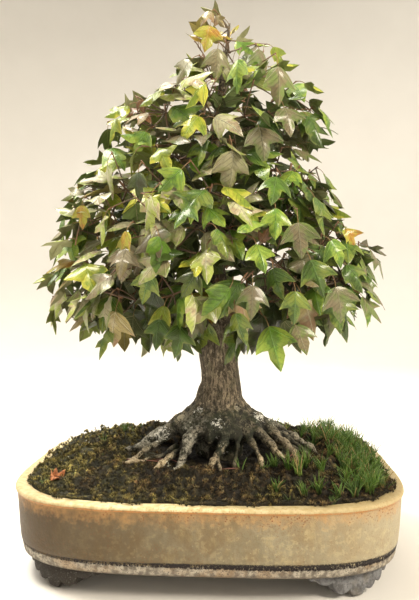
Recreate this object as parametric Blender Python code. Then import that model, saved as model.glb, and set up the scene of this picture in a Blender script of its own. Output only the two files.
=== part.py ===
"""Trident maple bonsai in a shallow glazed pot, as separate solids.

Metres, +Z up. The origin is on the standing surface, under the middle of the pot. +X is the
tree's right as its front is looked at, and the front faces -Y.
"""

import math
import random

import bmesh
import bpy
from mathutils import Vector
from mathutils.bvhtree import BVHTree

GAP = 0.0003  # clear space between neighbouring pieces
UP = Vector((0.0, 0.0, 1.0))

# Pot: a rounded rectangle in plan, drawn as a superellipse
POT_LENGTH = 0.360
POT_DEPTH = 0.272
POT_POWER = 3.8
POT_SIDES = 44
POT_HEIGHT = 0.058  # rim to underside, without the feet
POT_FLOOR = 0.010
BAND_HEIGHT = 0.0085  # bare clay band round the foot of the wall
GROOVE_HEIGHT = 0.0022
LIP_HEIGHT = 0.0045

# Feet: a cloud-shaped bracket under each corner
FOOT_HEIGHT = 0.021
FOOT_INSET = 0.0125  # from the rim's outline to the bracket's outer face
FOOT_THICKNESS = 0.0095
FOOT_WEB = 0.0055  # thin part between the lobes and past them
FOOT_ANGLES = (66.0, 22.0)  # outline angles that a bracket runs between, in degrees
FOOT_STATIONS = 18
FOOT_FLAT = 0.0007  # how far the lowest lobe is ground flat
FOOT_DRAFT = 0.0006  # how far the outer face leans in towards its lower edge
LOBE_ROUND = 0.8  # share of the web's height that a lobe's round sides rise to

# Soil: a low mound with a level top where the roots lie
SOIL_SIDES = 40
SOIL_DROP = 0.0045  # soil's edge under the rim
MOUND_RISE = 0.0105  # level top above the rim
MOUND_RADII = (0.110, 0.088)
MOUND_STEPS = 4

# Trunk
TREE_X = 0.008  # the trunk's foot stands a little right of the pot's middle
TRUNK_SIDES = 12
# height above the soil, sideways shift of the axis, forward shift, radius
TRUNK_COURSE = (
    (-0.006, 0.000, 0.000, 0.0420),
    (0.010, 0.000, 0.000, 0.0400),
    (0.022, -0.001, 0.000, 0.0370),
    (0.033, -0.001, 0.000, 0.0330),
    (0.044, 0.000, 0.000, 0.0285),
    (0.057, 0.001, 0.000, 0.0235),
    (0.070, 0.002, 0.000, 0.0200),
    (0.084, 0.001, 0.001, 0.0192),
    (0.112, -0.002, 0.002, 0.0205),
    (0.145, -0.004, 0.001, 0.0165),
    (0.200, -0.007, -0.003, 0.0120),
    (0.260, -0.002, 0.002, 0.0090),
    (0.320, -0.004, 0.000, 0.0062),
    (0.365, 0.003, -0.002, 0.0042),
    (0.392, 0.006, 0.000, 0.0030),
)

# Surface roots: bearing in degrees and reach of each, where the front is at 270
ROOTS = (
    (192, 0.096),
    (214, 0.088),
    (236, 0.098),
    (251, 0.074),
    (266, 0.058),
    (284, 0.066),
    (302, 0.079),
    (317, 0.070),
    (332, 0.077),
    (354, 0.095),
    (17, 0.088),
    (40, 0.084),
    (64, 0.078),
    (88, 0.074),
    (112, 0.078),
    (138, 0.086),
    (165, 0.090),
)
ROOT_SIDES = 6
ROOT_START = 0.054  # height on the trunk where a root's back begins
ROOT_RADIUS = 0.0112
ROOT_TIP = 0.0024
ROOT_STEPS = 6
ROOT_FIRST = 0.010  # how far from the trunk's axis a root's course begins
ROOT_SWAY = 0.6  # a root may bow round by a quarter of this on its way, in radians
ROOT_TAPER = 0.9
ROOT_FALL = 1.3  # over 1, a root's back is hollow
ROOT_PROUD = 0.35  # share of its radius that a root's axis lies over the soil
ROOT_DIP = 0.002  # its tip lies this much lower

# Crown: height above the floor, sideways middle, half its width
CROWN_OUTLINE = (
    (0.182, -0.004, 0.060),
    (0.194, -0.004, 0.118),
    (0.208, 0.000, 0.160),
    (0.230, 0.001, 0.177),
    (0.262, 0.001, 0.178),
    (0.285, 0.001, 0.177),
    (0.308, -0.002, 0.166),
    (0.330, -0.010, 0.154),
    (0.352, -0.010, 0.143),
    (0.374, -0.005, 0.132),
    (0.396, 0.003, 0.124),
    (0.428, 0.007, 0.124),
    (0.450, 0.010, 0.107),
    (0.470, 0.019, 0.079),
    (0.494, 0.018, 0.058),
    (0.522, 0.006, 0.038),
    (0.551, 0.001, 0.018),
)
CROWN_DEPTH = 0.67  # front to back, as a share of the width
CROWN_FRONT = 0.007  # added to that, so that the narrow top is nearly round

# Foliage masses stand round the trunk in tiers: height, how many, bearing of the first
TIERS = ((0.240, 5, 270.0), (0.327, 4, 270.0), (0.409, 3, 270.0))
TIER_STAGGER = 0.015  # every other mass stands this much higher, and those between lower
TIER_REACH = 0.60  # middle of a mass, as a share of the crown's reach
APEX_HEIGHT = 0.486
APEX_STEM = 0.034  # the top mass's stem ends this far over its middle, or a little more
BOUGH_DROP = 0.030  # a bough leaves the trunk this far under its mass's middle
BOUGH_ARCH = 0.014
BOUGH_RADII = (0.0072, 0.0056, 0.0042)  # at the trunk, tier by tier
BOUGH_TAPER = 0.52
BOUGH_SIDES = 6
BOUGH_SHARES = (0.46, 0.80)  # least and most of the way to its mass's middle
BOUGH_STEP = 0.02  # share of the way that a bough is tried longer by
LIMB_STEPS = 4
STEM_SIDES = 4
STEM_OVERRUN = 1.18  # a stem ends past its mass's middle
STEM_COLLAR = 0.002  # its first stretch, square to the bough's tip
STEM_GIRTH = 0.92  # its radius there, as a share of the bough's tip
STEM_TAPER = 0.17  # lost at each step

# Twigs and leaves
SEAT_SPACING = 0.0236
SEAT_DEPTHS = (0.026, 0.058)  # how deep under the crown's outline leaves are borne
SEAT_TOP_SHARE = 0.40  # or this share of the crown's half depth, near its narrow top
SEAT_TRIES = 2800
PAIRED_SHARE = 0.7  # until then a seat has to bear two leaves, and after that one will do
SEAT_BOX = 0.11
SEAT_MARGIN = 0.005
TWIG_RADIUS = 0.0011
TWIG_LENGTHS = (0.006, 0.060)
TWIG_GAIN = 1.35
TWIG_OVERRUN = 0.0016
TWIG_NODE_BACK = 0.006  # a twig's own shoots leave it this far behind its leaves
TWIG_CLEAR = 0.002  # a twig is tested from this far outside the limb that it leaves
LEAF_LENGTHS = (0.032, 0.041)
APEX_LEAVES = 0.78  # leaves over the apex's middle are young, and this much shorter
LEAF_TRIES = 16
NEAR = 0.086  # middles of pieces further apart than this can't meet
LEAF_THICKNESS = 0.034  # share of the blade's length
LEAF_SUNK = 0.0005
LEAF_STEP = 0.0032  # how far apart along the twig a pair of leaves is borne
LEAF_STRAIGHTEST = 0.90  # cosine of the least angle between a leaf's stalk and its twig
LIMB_CLEARANCE = 0.0022
LEAF_OUT = (0.35, 0.9)  # how much of a leaf's direction is out of the crown
LEAF_ASIDE = (0.3, 1.0)  # and off its twig's side
LEAF_ASIDE_RISE = 0.4
UPRIGHT_SINE = 0.2  # a twig nearer the vertical than this has no side of its own
UPRIGHT_COSINE = 0.95
LEAF_DROOP = (0.0, 0.9)  # and down
LEAF_FACE = (0.7, 0.65)  # how much its upper face looks out and up
LEAF_TILT = 0.3
# a leaf's outline, in lengths of its blade: along, across, lift
LEAF_ROOT = (-0.40, 0.0, -0.14)
LEAF_HALF = ((-0.01, 0.035, 0.0), (0.50, 0.50, 0.05), (0.56, 0.20, 0.0))
LEAF_TIP = (1.0, 0.0, -0.06)
LEAF_HEART = (0.32, 0.0, -0.01)

BASE_Z = FOOT_HEIGHT
RIM_Z = BASE_Z + POT_HEIGHT
GROUND_Z = RIM_Z + MOUND_RISE


# Materials and objects

def material(name, colour, roughness):
    made = bpy.data.materials.new(name)
    made.use_nodes = True
    shader = made.node_tree.nodes["Principled BSDF"]
    shader.inputs["Base Color"].default_value = (*colour, 1.0)
    shader.inputs["Roughness"].default_value = roughness
    shader.inputs["Metallic"].default_value = 0.0
    return made


def object_from(mesh, name, finish):
    """The bmesh as an object in the scene, with its faces turned outwards."""
    bmesh.ops.recalc_face_normals(mesh, faces=mesh.faces)
    data = bpy.data.meshes.new(name)
    mesh.to_mesh(data)
    mesh.free()
    if finish:
        data.materials.append(finish)
    made = bpy.data.objects.new(name, data)
    bpy.context.scene.collection.objects.link(made)
    return made


# Skins

def skin(rings):
    """A closed skin through rings of equal counts, with a flat face on the first and last."""
    mesh = bmesh.new()
    loops = [[mesh.verts.new(point) for point in ring] for ring in rings]
    for lower, upper in zip(loops, loops[1:]):
        for k in range(len(lower)):
            mesh.faces.new((lower[k - 1], lower[k], upper[k], upper[k - 1]))
    mesh.faces.new(loops[0])
    mesh.faces.new(loops[-1])
    return mesh


def tube_rings(points, radii, sides, side=None):
    """Rings of corners square to a limb's course, their first corner on the side given."""
    rings = []
    side = side or (points[1] - points[0]).orthogonal()
    for i, (point, radius) in enumerate(zip(points, radii)):
        before = points[max(i - 1, 0)]
        after = points[min(i + 1, len(points) - 1)]
        along = (after - before).normalized()
        side = (side - along * side.dot(along)).normalized()
        across = along.cross(side)
        turns = [math.tau * k / sides for k in range(sides)]
        rings.append([point + radius * (math.cos(a) * side + math.sin(a) * across) for a in turns])
    return rings


def tube(points, radii, sides):
    """A tapering limb through the points."""
    return skin(tube_rings(points, radii, sides))


def between(table, height):
    """The table's row at a height, read between its two nearest rows."""
    if height <= table[0][0]:
        return table[0][1:]
    for low, high in zip(table, table[1:]):
        if height <= high[0]:
            share = (height - low[0]) / (high[0] - low[0])
            return tuple(a + share * (b - a) for a, b in zip(low[1:], high[1:]))
    return table[-1][1:]


# Joining and cutting

def applied(target):
    """Gives the object the mesh that its modifiers make."""
    graph = bpy.context.evaluated_depsgraph_get()
    data = bpy.data.meshes.new_from_object(target.evaluated_get(graph))
    target.modifiers.clear()
    old = target.data
    target.data = data
    bpy.data.meshes.remove(old)


def fused(target, extras):
    """Joins the extra objects to the target by one union, then removes them."""
    group = bpy.data.collections.new(target.name + "_extras")
    bpy.context.scene.collection.children.link(group)
    for extra in extras:
        bpy.context.scene.collection.objects.unlink(extra)
        group.objects.link(extra)
    union = target.modifiers.new("union", "BOOLEAN")
    union.operation = "UNION"
    union.operand_type = "COLLECTION"
    union.collection = group
    union.solver = "MANIFOLD"
    applied(target)
    for extra in list(group.objects):
        bpy.data.meshes.remove(extra.data)
    bpy.data.collections.remove(group)
    keep_largest(target)


def cut(target, cutter):
    """Takes the cutter's shape from the target, then removes the cutter."""
    difference = target.modifiers.new("cut", "BOOLEAN")
    difference.operation = "DIFFERENCE"
    difference.object = cutter
    difference.solver = "EXACT"
    applied(target)
    bpy.data.meshes.remove(cutter.data)
    keep_largest(target)


def island_of(start, seen):
    """The faces joined to one face, edge by edge."""
    island = []
    waiting = [start]
    seen.add(start)
    while waiting:
        face = waiting.pop()
        island.append(face)
        for edge in face.edges:
            for other in edge.link_faces:
                if other not in seen:
                    seen.add(other)
                    waiting.append(other)
    return island


def signed_volume(faces):
    total = 0.0
    for face in faces:
        first = face.verts[0].co
        for a, b in zip(face.verts[1:], face.verts[2:]):
            total += first.dot(a.co.cross(b.co)) / 6.0
    return total


def keep_largest(target):
    """Drops loose scraps and the skins of sealed hollows, which fills them."""
    mesh = bmesh.new()
    mesh.from_mesh(target.data)
    seen = set()
    islands = [island_of(face, seen) for face in mesh.faces if face not in seen]
    islands.sort(key=signed_volume)
    dropped = [face for island in islands[:-1] for face in island]
    bmesh.ops.delete(mesh, geom=dropped, context="FACES")
    mesh.to_mesh(target.data)
    mesh.free()


# Pot

def outline(angle, inset, height):
    """A point of the pot's plan, moved in from the rim."""
    share = 2.0 / POT_POWER
    cosine, sine = math.cos(angle), math.sin(angle)
    x = (POT_LENGTH / 2 - inset) * math.copysign(abs(cosine) ** share, cosine)
    y = (POT_DEPTH / 2 - inset) * math.copysign(abs(sine) ** share, sine)
    return Vector((x, y, height))


def outline_ring(inset, height, sides):
    return [outline(math.tau * k / sides, inset, height) for k in range(sides)]


# the inside of the wall: inset and height at the rim, half way and at the floor
INNER_TOP = (0.0122, RIM_Z - 0.0016)
INNER_LOW = (0.0160, BASE_Z + POT_FLOOR + 0.008)
INNER_FLOOR = (0.0225, BASE_Z + POT_FLOOR)


def pot_profile():
    """Inset and height of each ring, from the underside round the lip to the inside."""
    groove = BASE_Z + BAND_HEIGHT
    return (
        (0.0082, BASE_Z),
        (0.0064, BASE_Z + 0.0020),
        (0.0054, groove),
        (0.0066, groove + 0.0004),
        (0.0062, groove + GROOVE_HEIGHT),
        (0.0042, groove + GROOVE_HEIGHT + 0.0008),
        (0.0014, RIM_Z - LIP_HEIGHT),
        (0.0000, RIM_Z - 0.5 * LIP_HEIGHT),
        (0.0014, RIM_Z),
        (0.0104, RIM_Z),
        INNER_TOP,
        INNER_LOW,
        INNER_FLOOR,
    )


def make_pot(glaze):
    rings = [outline_ring(inset, height, POT_SIDES) for inset, height in pot_profile()]
    return object_from(skin(rings), "pot", glaze)


# lobes along a bracket: place and half width as shares of its run, height of the lowest point
FOOT_LOBES = (
    (0.17, 0.125, 0.0035),
    (0.42, 0.135, -FOOT_FLAT),
    (0.66, 0.115, 0.0020),
    (0.86, 0.095, 0.0045),
)


def foot_edge(share):
    """Height of a bracket's scalloped lower edge."""
    height = FOOT_HEIGHT - FOOT_WEB
    for place, half, low in FOOT_LOBES:
        off = abs(share - place) / half
        if off < 1.0:
            rise = LOBE_ROUND * (FOOT_HEIGHT - low) * (1.0 - math.sqrt(1.0 - off * off))
            height = min(height, low + rise)
    return max(height, 0.0)


def make_foot(name, clay, right, back):
    """A bracket that follows the pot's corner and hangs in lobes."""
    first, last = (math.radians(angle) for angle in FOOT_ANGLES)
    rings = []
    for k in range(FOOT_STATIONS + 1):
        share = k / FOOT_STATIONS
        angle = first + share * (last - first)
        low = foot_edge(share)
        corners = (
            outline(angle, FOOT_INSET, FOOT_HEIGHT - GAP),
            outline(angle, FOOT_INSET + FOOT_DRAFT, low),
            outline(angle, FOOT_INSET + FOOT_THICKNESS, low),
            outline(angle, FOOT_INSET + FOOT_THICKNESS, FOOT_HEIGHT - GAP),
        )
        rings.append([Vector((right * p.x, back * p.y, p.z)) for p in corners])
    return object_from(skin(rings), name, clay)


# Soil

def make_soil(earth):
    rings = [
        outline_ring(INNER_FLOOR[0] + 2 * GAP, INNER_FLOOR[1] + GAP, SOIL_SIDES),
        outline_ring(INNER_LOW[0] + 2 * GAP, INNER_LOW[1], SOIL_SIDES),
        outline_ring(INNER_TOP[0] + 4 * GAP, RIM_Z - SOIL_DROP, SOIL_SIDES),
    ]
    edge = rings[-1]
    for step in range(1, MOUND_STEPS + 1):
        share = step / MOUND_STEPS
        height = RIM_Z - SOIL_DROP + (MOUND_RISE + SOIL_DROP) * share * share * (3.0 - 2.0 * share)
        ring = []
        for k, rim in enumerate(edge):
            angle = math.tau * k / SOIL_SIDES
            top = Vector((
                TREE_X + MOUND_RADII[0] * math.cos(angle),
                MOUND_RADII[1] * math.sin(angle),
                0.0,
            ))
            point = rim.lerp(top, share)
            ring.append(Vector((point.x, point.y, height)))
        rings.append(ring)
    return object_from(skin(rings), "soil", earth)


# Trunk and roots

def trunk_at(height):
    """The trunk's axis and radius at a height above the floor."""
    x, y, radius = between(TRUNK_COURSE, height - GROUND_Z)
    return Vector((TREE_X + x, y, height)), radius


def trunk_line():
    """Points and radii from the trunk's foot to its tip."""
    rows = [trunk_at(GROUND_Z + row[0]) for row in TRUNK_COURSE]
    return [row[0] for row in rows], [row[1] for row in rows]


def root_line(index, dice):
    """Points and radii of one root, from inside the trunk down its flank and out on the soil."""
    bearing, reach = math.radians(ROOTS[index][0]), ROOTS[index][1]
    sway = dice.uniform(-ROOT_SWAY, ROOT_SWAY)
    points, radii = [], []
    for k in range(ROOT_STEPS + 1):
        share = k / ROOT_STEPS
        turn = bearing + sway * share * (1.0 - share)
        out = ROOT_FIRST + share * (reach - ROOT_FIRST)
        radius = ROOT_RADIUS + (ROOT_TIP - ROOT_RADIUS) * share ** ROOT_TAPER
        fall = (1.0 - share) ** ROOT_FALL * ROOT_START
        height = GROUND_Z + fall + ROOT_PROUD * radius - ROOT_DIP * share
        points.append(Vector((TREE_X + out * math.cos(turn), out * math.sin(turn), height)))
        radii.append(radius)
    return points, radii


def make_trunk(bark):
    points, radii = trunk_line()
    trunk = object_from(tube(points, radii, TRUNK_SIDES), "trunk", bark)
    dice = random.Random("roots")
    roots = []
    for index in range(len(ROOTS)):
        points, radii = root_line(index, dice)
        roots.append(object_from(tube(points, radii, ROOT_SIDES), "root", bark))
    fused(trunk, roots)
    below = bmesh.new()
    bmesh.ops.create_cube(below, size=POT_LENGTH)
    level = GROUND_Z + GAP - POT_LENGTH / 2
    bmesh.ops.translate(below, vec=(0.0, 0.0, level), verts=below.verts)
    cut(trunk, object_from(below, "below", None))
    return trunk


# Crown

def crown_at(height):
    """Sideways middle, half width and half depth of the crown at a height."""
    middle, half = between(CROWN_OUTLINE, height)
    return middle, half, min(half, CROWN_DEPTH * half + CROWN_FRONT)


def in_crown(point):
    if not CROWN_OUTLINE[0][0] < point.z < CROWN_OUTLINE[-1][0]:
        return False
    middle, width, depth = crown_at(point.z)
    return ((point.x - middle) / width) ** 2 + (point.y / depth) ** 2 < 1.0


def mass_plan():
    """Name, tier, bearing and middle of every mass of foliage."""
    plan = []
    for tier, (height, count, first) in enumerate(TIERS):
        middle, width, depth = crown_at(height)
        for k in range(count):
            rise = TIER_STAGGER if k % 2 else -TIER_STAGGER
            bearing = math.radians(first) + math.tau * k / count
            centre = Vector((
                middle + TIER_REACH * width * math.cos(bearing),
                TIER_REACH * depth * math.sin(bearing),
                height + rise,
            ))
            plan.append((f"{tier + 1}_{k + 1}", tier, centre))
    apex = crown_at(APEX_HEIGHT)[0]
    plan.append(("apex", len(TIERS), Vector((apex, 0.0, APEX_HEIGHT))))
    return plan


MASSES = mass_plan()


def cell_margin(point, index):
    """How far inside its own share of the crown a point is: nearer its mass than any other."""
    own = MASSES[index][2]
    margin = math.inf
    for other, (_, _, centre) in enumerate(MASSES):
        if other != index:
            apart = (centre - own).length
            nearer = (centre - point).length_squared - (own - point).length_squared
            margin = min(margin, nearer / (2.0 * apart))
    return margin


def arch(start, end, rise, share):
    """A point on a limb's course, which arches up on its way out."""
    point = start.lerp(end, share)
    point.z += rise * 4.0 * share * (1.0 - share)
    return point


def limb_course(index):
    """Start, end and arch of the line that a bough and its mass's stem share."""
    _, tier, centre = MASSES[index]
    if tier == len(TIERS):
        tip = trunk_line()[0][-1]
        return tip, centre + UP * APEX_STEM, 0.0
    start, _ = trunk_at(centre.z - BOUGH_DROP)
    return start, centre, BOUGH_ARCH


def bough_end(index):
    """Share of the course at which the bough enters its mass."""
    start, end, rise = limb_course(index)
    share, most = BOUGH_SHARES
    while cell_margin(arch(start, end, rise, share), index) < SEAT_MARGIN and share < most:
        share += BOUGH_STEP
    return share


def bough_line(index):
    tier = MASSES[index][1]
    start, end, rise = limb_course(index)
    last = bough_end(index)
    shares = [k / LIMB_STEPS for k in range(LIMB_STEPS + 1)]
    points = [arch(start, end, rise, last * share) for share in shares]
    radii = [BOUGH_RADII[tier] * (1.0 + (BOUGH_TAPER - 1.0) * share) for share in shares]
    return points, radii


def stem_line(index):
    """The mass's stem, from just past its bough's tip or the trunk's, square to that tip."""
    start, end, rise = limb_course(index)
    if MASSES[index][1] == len(TIERS):
        carrier, widths = trunk_line()
        first = 0.0
    else:
        carrier, widths = bough_line(index)
        first = bough_end(index)
    along = (carrier[-1] - carrier[-2]).normalized()
    foot = carrier[-1] + along * GAP
    thick = STEM_GIRTH * widths[-1]
    points = [foot, foot + along * STEM_COLLAR]
    radii = [thick, thick]
    for k in range(1, LIMB_STEPS + 1):
        points.append(arch(start, end, rise, first + (STEM_OVERRUN - first) * k / LIMB_STEPS))
        radii.append(max(TWIG_RADIUS, thick * (1.0 - STEM_TAPER * k)))
    return points, radii


def skin_tree(rings):
    """A limb's skin, for testing what runs through it."""
    corners = [point for ring in rings for point in ring]
    sides = len(rings[0])
    faces = []
    for low in range(0, len(corners) - sides, sides):
        for k in range(sides):
            after = low + (k + 1) % sides
            faces.append((low + k, after, after + sides, low + sides + k))
    faces.append(tuple(range(sides)))
    faces.append(tuple(range(len(corners) - sides, len(corners))))
    return BVHTree.FromPolygons(corners, faces)


def limb_skins():
    """The trunk and every bough, grown by the room that foliage leaves round them."""
    bearing = [index for index, mass in enumerate(MASSES) if mass[1] < len(TIERS)]
    lines = [trunk_line()] + [bough_line(index) for index in bearing]
    skins = []
    for points, radii in lines:
        grown = [radius + LIMB_CLEARANCE for radius in radii]
        skins.append(skin_tree(tube_rings(points, grown, BOUGH_SIDES)))
    return skins


LIMBS = limb_skins()


# Growing a mass

DIRECTIONS = [
    Vector((x, y, z)).normalized()
    for x in (-1, 0, 1)
    for y in (-1, 0, 1)
    for z in (-1, 0, 1)
    if (x, y, z) != (0, 0, 0)
]


def outward_at(point):
    """Which way the crown's outline lies, if the point is in the shell that bears leaves."""
    near, far = SEAT_DEPTHS
    near = min(near, SEAT_TOP_SHARE * crown_at(point.z)[2])
    if not all(in_crown(point + near * way) for way in DIRECTIONS):
        return None
    outside = [way for way in DIRECTIONS if not in_crown(point + far * way)]
    if not outside:
        return None
    return sum(outside, Vector()).normalized()


def leaf_axes(outward, along, side, dice):
    """A leaf's midrib and its face: it hangs out and down, and faces out and up."""
    lift = max(0.0, outward.z)
    across = along.cross(UP)
    if across.length < UPRIGHT_SINE:
        across = along.cross(Vector((0.0, 1.0, 0.0)))
    across = across.normalized() * side + UP * dice.uniform(-LEAF_ASIDE_RISE, LEAF_ASIDE_RISE)
    droop = dice.uniform(*LEAF_DROOP) * (1.0 - lift * lift)
    midrib = outward * dice.uniform(*LEAF_OUT) + across * dice.uniform(*LEAF_ASIDE) - UP * droop
    midrib.normalize()
    tilt = Vector([dice.uniform(-LEAF_TILT, LEAF_TILT) for _ in range(3)])
    face = outward * LEAF_FACE[0] + UP * LEAF_FACE[1] + tilt
    face = (face - midrib * face.dot(midrib)).normalized()
    return midrib, face


def leaf_corners(root, midrib, face, length):
    """A leaf's outline round its three lobes, then the middle of its two faces."""
    across = midrib.cross(face)
    base = root - (midrib * LEAF_ROOT[0] + face * LEAF_ROOT[2]) * length

    def place(row, sign=1.0, rise=0.0):
        return base + (midrib * row[0] + across * (sign * row[1]) + face * (row[2] + rise)) * length

    rim = [place(LEAF_ROOT)]
    rim += [place(row) for row in LEAF_HALF]
    rim += [place(LEAF_TIP)]
    rim += [place(row, -1.0) for row in reversed(LEAF_HALF)]
    half = LEAF_THICKNESS / 2
    return rim, place(LEAF_HEART, 1.0, half), place(LEAF_HEART, 1.0, -half)


def leaf_is_free(rim, tree, index):
    """Whether a leaf stays in its mass's share of the crown and off the limbs."""
    for point in rim[1:]:
        if not in_crown(point) or cell_margin(point, index) < GAP:
            return False
    return not any(tree.overlap(limb) for limb in LIMBS)


def leaf_faces(count):
    """Corner numbers of a leaf's faces: its rim's corners, then the upper and lower middle."""
    faces = []
    for k in range(count):
        faces.append(((k - 1) % count, k, count))
        faces.append((k, (k - 1) % count, count + 1))
    return faces


def crosses(tree, heart, standing):
    """Whether a piece cuts through any that stands near it."""
    near = [other for other, place in standing if (heart - place).length < NEAR]
    return any(tree.overlap(other) for other in near)


def leaf_pair(index, seat, outward, along, dice, standing):
    """Two leaves on opposite sides of a twig's end, each tried a few ways until it is free."""
    pair = []
    for side in (-1.0, 1.0):
        for _ in range(LEAF_TRIES):
            length = dice.uniform(*LEAF_LENGTHS)
            if seat.z > APEX_HEIGHT:
                length *= APEX_LEAVES
            midrib, face = leaf_axes(outward, along, side, dice)
            if midrib.dot(along) > LEAF_STRAIGHTEST:
                continue
            root = seat - along * (LEAF_STEP * (1.0 + side) / 2) - midrib * LEAF_SUNK
            rim, top, under = leaf_corners(root, midrib, face, length)
            heart = top.lerp(under, 0.5)
            tree = BVHTree.FromPolygons(rim + [top, under], leaf_faces(len(rim)))
            if not leaf_is_free(rim, tree, index):
                continue
            if not crosses(tree, heart, standing + [leaf[3:] for leaf in pair]):
                pair.append((rim, top, under, tree, heart))
                break
    return pair


def free_twig(seat, nodes, standing):
    """The shortest twig to a seat that cuts through nothing, its direction and its middle."""
    for start, thick in sorted(nodes, key=lambda node: (node[0] - seat).length):
        run = seat - start
        if not TWIG_LENGTHS[0] < run.length < TWIG_LENGTHS[1]:
            continue
        along = run.normalized()
        first = min(thick, TWIG_RADIUS * TWIG_GAIN)
        ends = [start - along * first, seat + along * TWIG_OVERRUN]
        edge = -UP if abs(along.z) < UPRIGHT_COSINE else Vector((1.0, 0.0, 0.0))
        rings = tube_rings(ends, [first, TWIG_RADIUS], 3, edge)
        ahead = [point + along * (thick + TWIG_RADIUS + TWIG_CLEAR) for point in rings[0]]
        tree = skin_tree([ahead, rings[1]])
        middle = seat.lerp(start, 0.5)
        if not any(tree.overlap(limb) for limb in LIMBS) and not crosses(tree, middle, standing):
            return rings, along, middle
    return None


def grow_mass(index, dice, taken):
    """Twigs, each from the nearest that stands, and the pair of leaves at the end of each."""
    stem, radii = stem_line(index)
    stretches = zip(stem[2:], stem[3:], radii[3:])
    nodes = [(low.lerp(high, 0.5), radius) for low, high, radius in stretches]
    centre = MASSES[index][2]
    along = (stem[-1] - stem[-2]).normalized()
    tip = stem[-1] - along * TWIG_OVERRUN
    standing = [(skin_tree(tube_rings(stem[:-1], radii[:-1], STEM_SIDES)), centre)]
    end_pair = leaf_pair(index, tip, outward_at(tip) or along, along, dice, standing)
    taken.append(tip)
    leaves = [leaf[:3] for leaf in end_pair]
    standing += [leaf[3:] for leaf in end_pair]
    twigs = []
    for turn in range(SEAT_TRIES):
        seat = centre + Vector([dice.uniform(-SEAT_BOX, SEAT_BOX) for _ in range(3)])
        if cell_margin(seat, index) < SEAT_MARGIN:
            continue
        if any((seat - other).length < SEAT_SPACING for other in taken):
            continue
        outward = outward_at(seat)
        twig = outward and free_twig(seat, nodes, standing)
        if not twig:
            continue
        rings, along, middle = twig
        pair = leaf_pair(index, seat, outward, along, dice, standing)
        if len(pair) < (2 if turn < PAIRED_SHARE * SEAT_TRIES else 1):
            continue
        taken.append(seat)
        nodes.append((seat - along * TWIG_NODE_BACK, TWIG_RADIUS))
        twigs.append(rings)
        leaves += [leaf[:3] for leaf in pair]
        standing += [leaf[3:] for leaf in pair]
        standing.append((skin_tree(rings), middle))
    return twigs, leaves


def leaf_mesh(rim, top, under):
    """A thin blade: both faces rise from the outline to the middle."""
    mesh = bmesh.new()
    corners = [mesh.verts.new(point) for point in rim + [top, under]]
    for face in leaf_faces(len(rim)):
        mesh.faces.new([corners[k] for k in face])
    return mesh


def make_mass(index, taken, foliage):
    name = MASSES[index][0]
    twigs, leaves = grow_mass(index, random.Random(f"mass {name}"), taken)
    points, radii = stem_line(index)
    mass = object_from(tube(points, radii, STEM_SIDES), f"foliage_{name}", foliage)
    extras = [object_from(skin(rings), "twig", foliage) for rings in twigs]
    extras += [object_from(leaf_mesh(*leaf), "leaf", foliage) for leaf in leaves]
    fused(mass, extras)
    return mass


def make_bough(index, bark):
    """A bough, cut clear of the trunk that it leaves."""
    points, radii = bough_line(index)
    bough = object_from(tube(points, radii, BOUGH_SIDES), f"bough_{MASSES[index][0]}", bark)
    spine, widths = trunk_line()
    grown = [width + 1.5 * GAP for width in widths]
    cut(bough, object_from(tube(spine, grown, TRUNK_SIDES), "trunk_space", None))
    return bough


def main():
    for old in list(bpy.data.objects):
        bpy.data.objects.remove(old)
    glaze = material("ochre_glaze", (0.62, 0.47, 0.25), 0.35)
    clay = material("grey_clay", (0.27, 0.26, 0.25), 0.85)
    earth = material("mossy_soil", (0.10, 0.09, 0.03), 0.95)
    bark = material("bark", (0.19, 0.14, 0.10), 0.85)
    foliage = material("maple_leaves", (0.26, 0.38, 0.09), 0.55)

    make_pot(glaze)
    for depth_name, back in (("front", -1.0), ("back", 1.0)):
        for side_name, right in (("left", -1.0), ("right", 1.0)):
            make_foot(f"foot_{depth_name}_{side_name}", clay, right, back)
    make_soil(earth)
    make_trunk(bark)
    taken = []
    for index, (_, tier, _) in enumerate(MASSES):
        if tier < len(TIERS):
            make_bough(index, bark)
        make_mass(index, taken, foliage)


main()
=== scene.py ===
# %% [markdown]
# # A trident maple bonsai in its pot
#
# An upright little tree with a wide foot of roots, a crown of three-lobed leaves and a shallow
# glazed pot. The solids were made elsewhere as plain shapes: here each is dressed, in the same
# place and at the same size. We start by loading them, and we keep the box that they fill.

# %% Load the solids
import math
import random
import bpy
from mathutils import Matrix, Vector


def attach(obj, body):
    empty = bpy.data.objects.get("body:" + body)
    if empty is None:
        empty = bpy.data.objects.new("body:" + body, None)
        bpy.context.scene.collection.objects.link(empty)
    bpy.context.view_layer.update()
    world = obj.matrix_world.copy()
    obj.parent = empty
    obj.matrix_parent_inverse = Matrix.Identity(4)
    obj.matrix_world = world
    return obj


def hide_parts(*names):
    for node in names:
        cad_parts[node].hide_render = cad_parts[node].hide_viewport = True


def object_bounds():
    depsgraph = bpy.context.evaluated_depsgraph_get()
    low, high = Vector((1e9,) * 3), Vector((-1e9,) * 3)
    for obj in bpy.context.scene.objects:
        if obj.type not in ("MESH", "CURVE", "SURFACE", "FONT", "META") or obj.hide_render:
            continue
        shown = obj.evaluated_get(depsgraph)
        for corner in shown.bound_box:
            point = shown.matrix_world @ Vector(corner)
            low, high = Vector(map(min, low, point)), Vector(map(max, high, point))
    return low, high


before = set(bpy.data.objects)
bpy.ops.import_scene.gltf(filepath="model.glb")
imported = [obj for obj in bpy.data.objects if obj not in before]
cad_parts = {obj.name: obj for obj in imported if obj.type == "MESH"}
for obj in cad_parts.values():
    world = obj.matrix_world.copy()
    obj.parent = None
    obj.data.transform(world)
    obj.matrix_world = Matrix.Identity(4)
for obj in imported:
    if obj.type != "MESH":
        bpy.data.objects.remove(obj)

from types import SimpleNamespace

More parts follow.
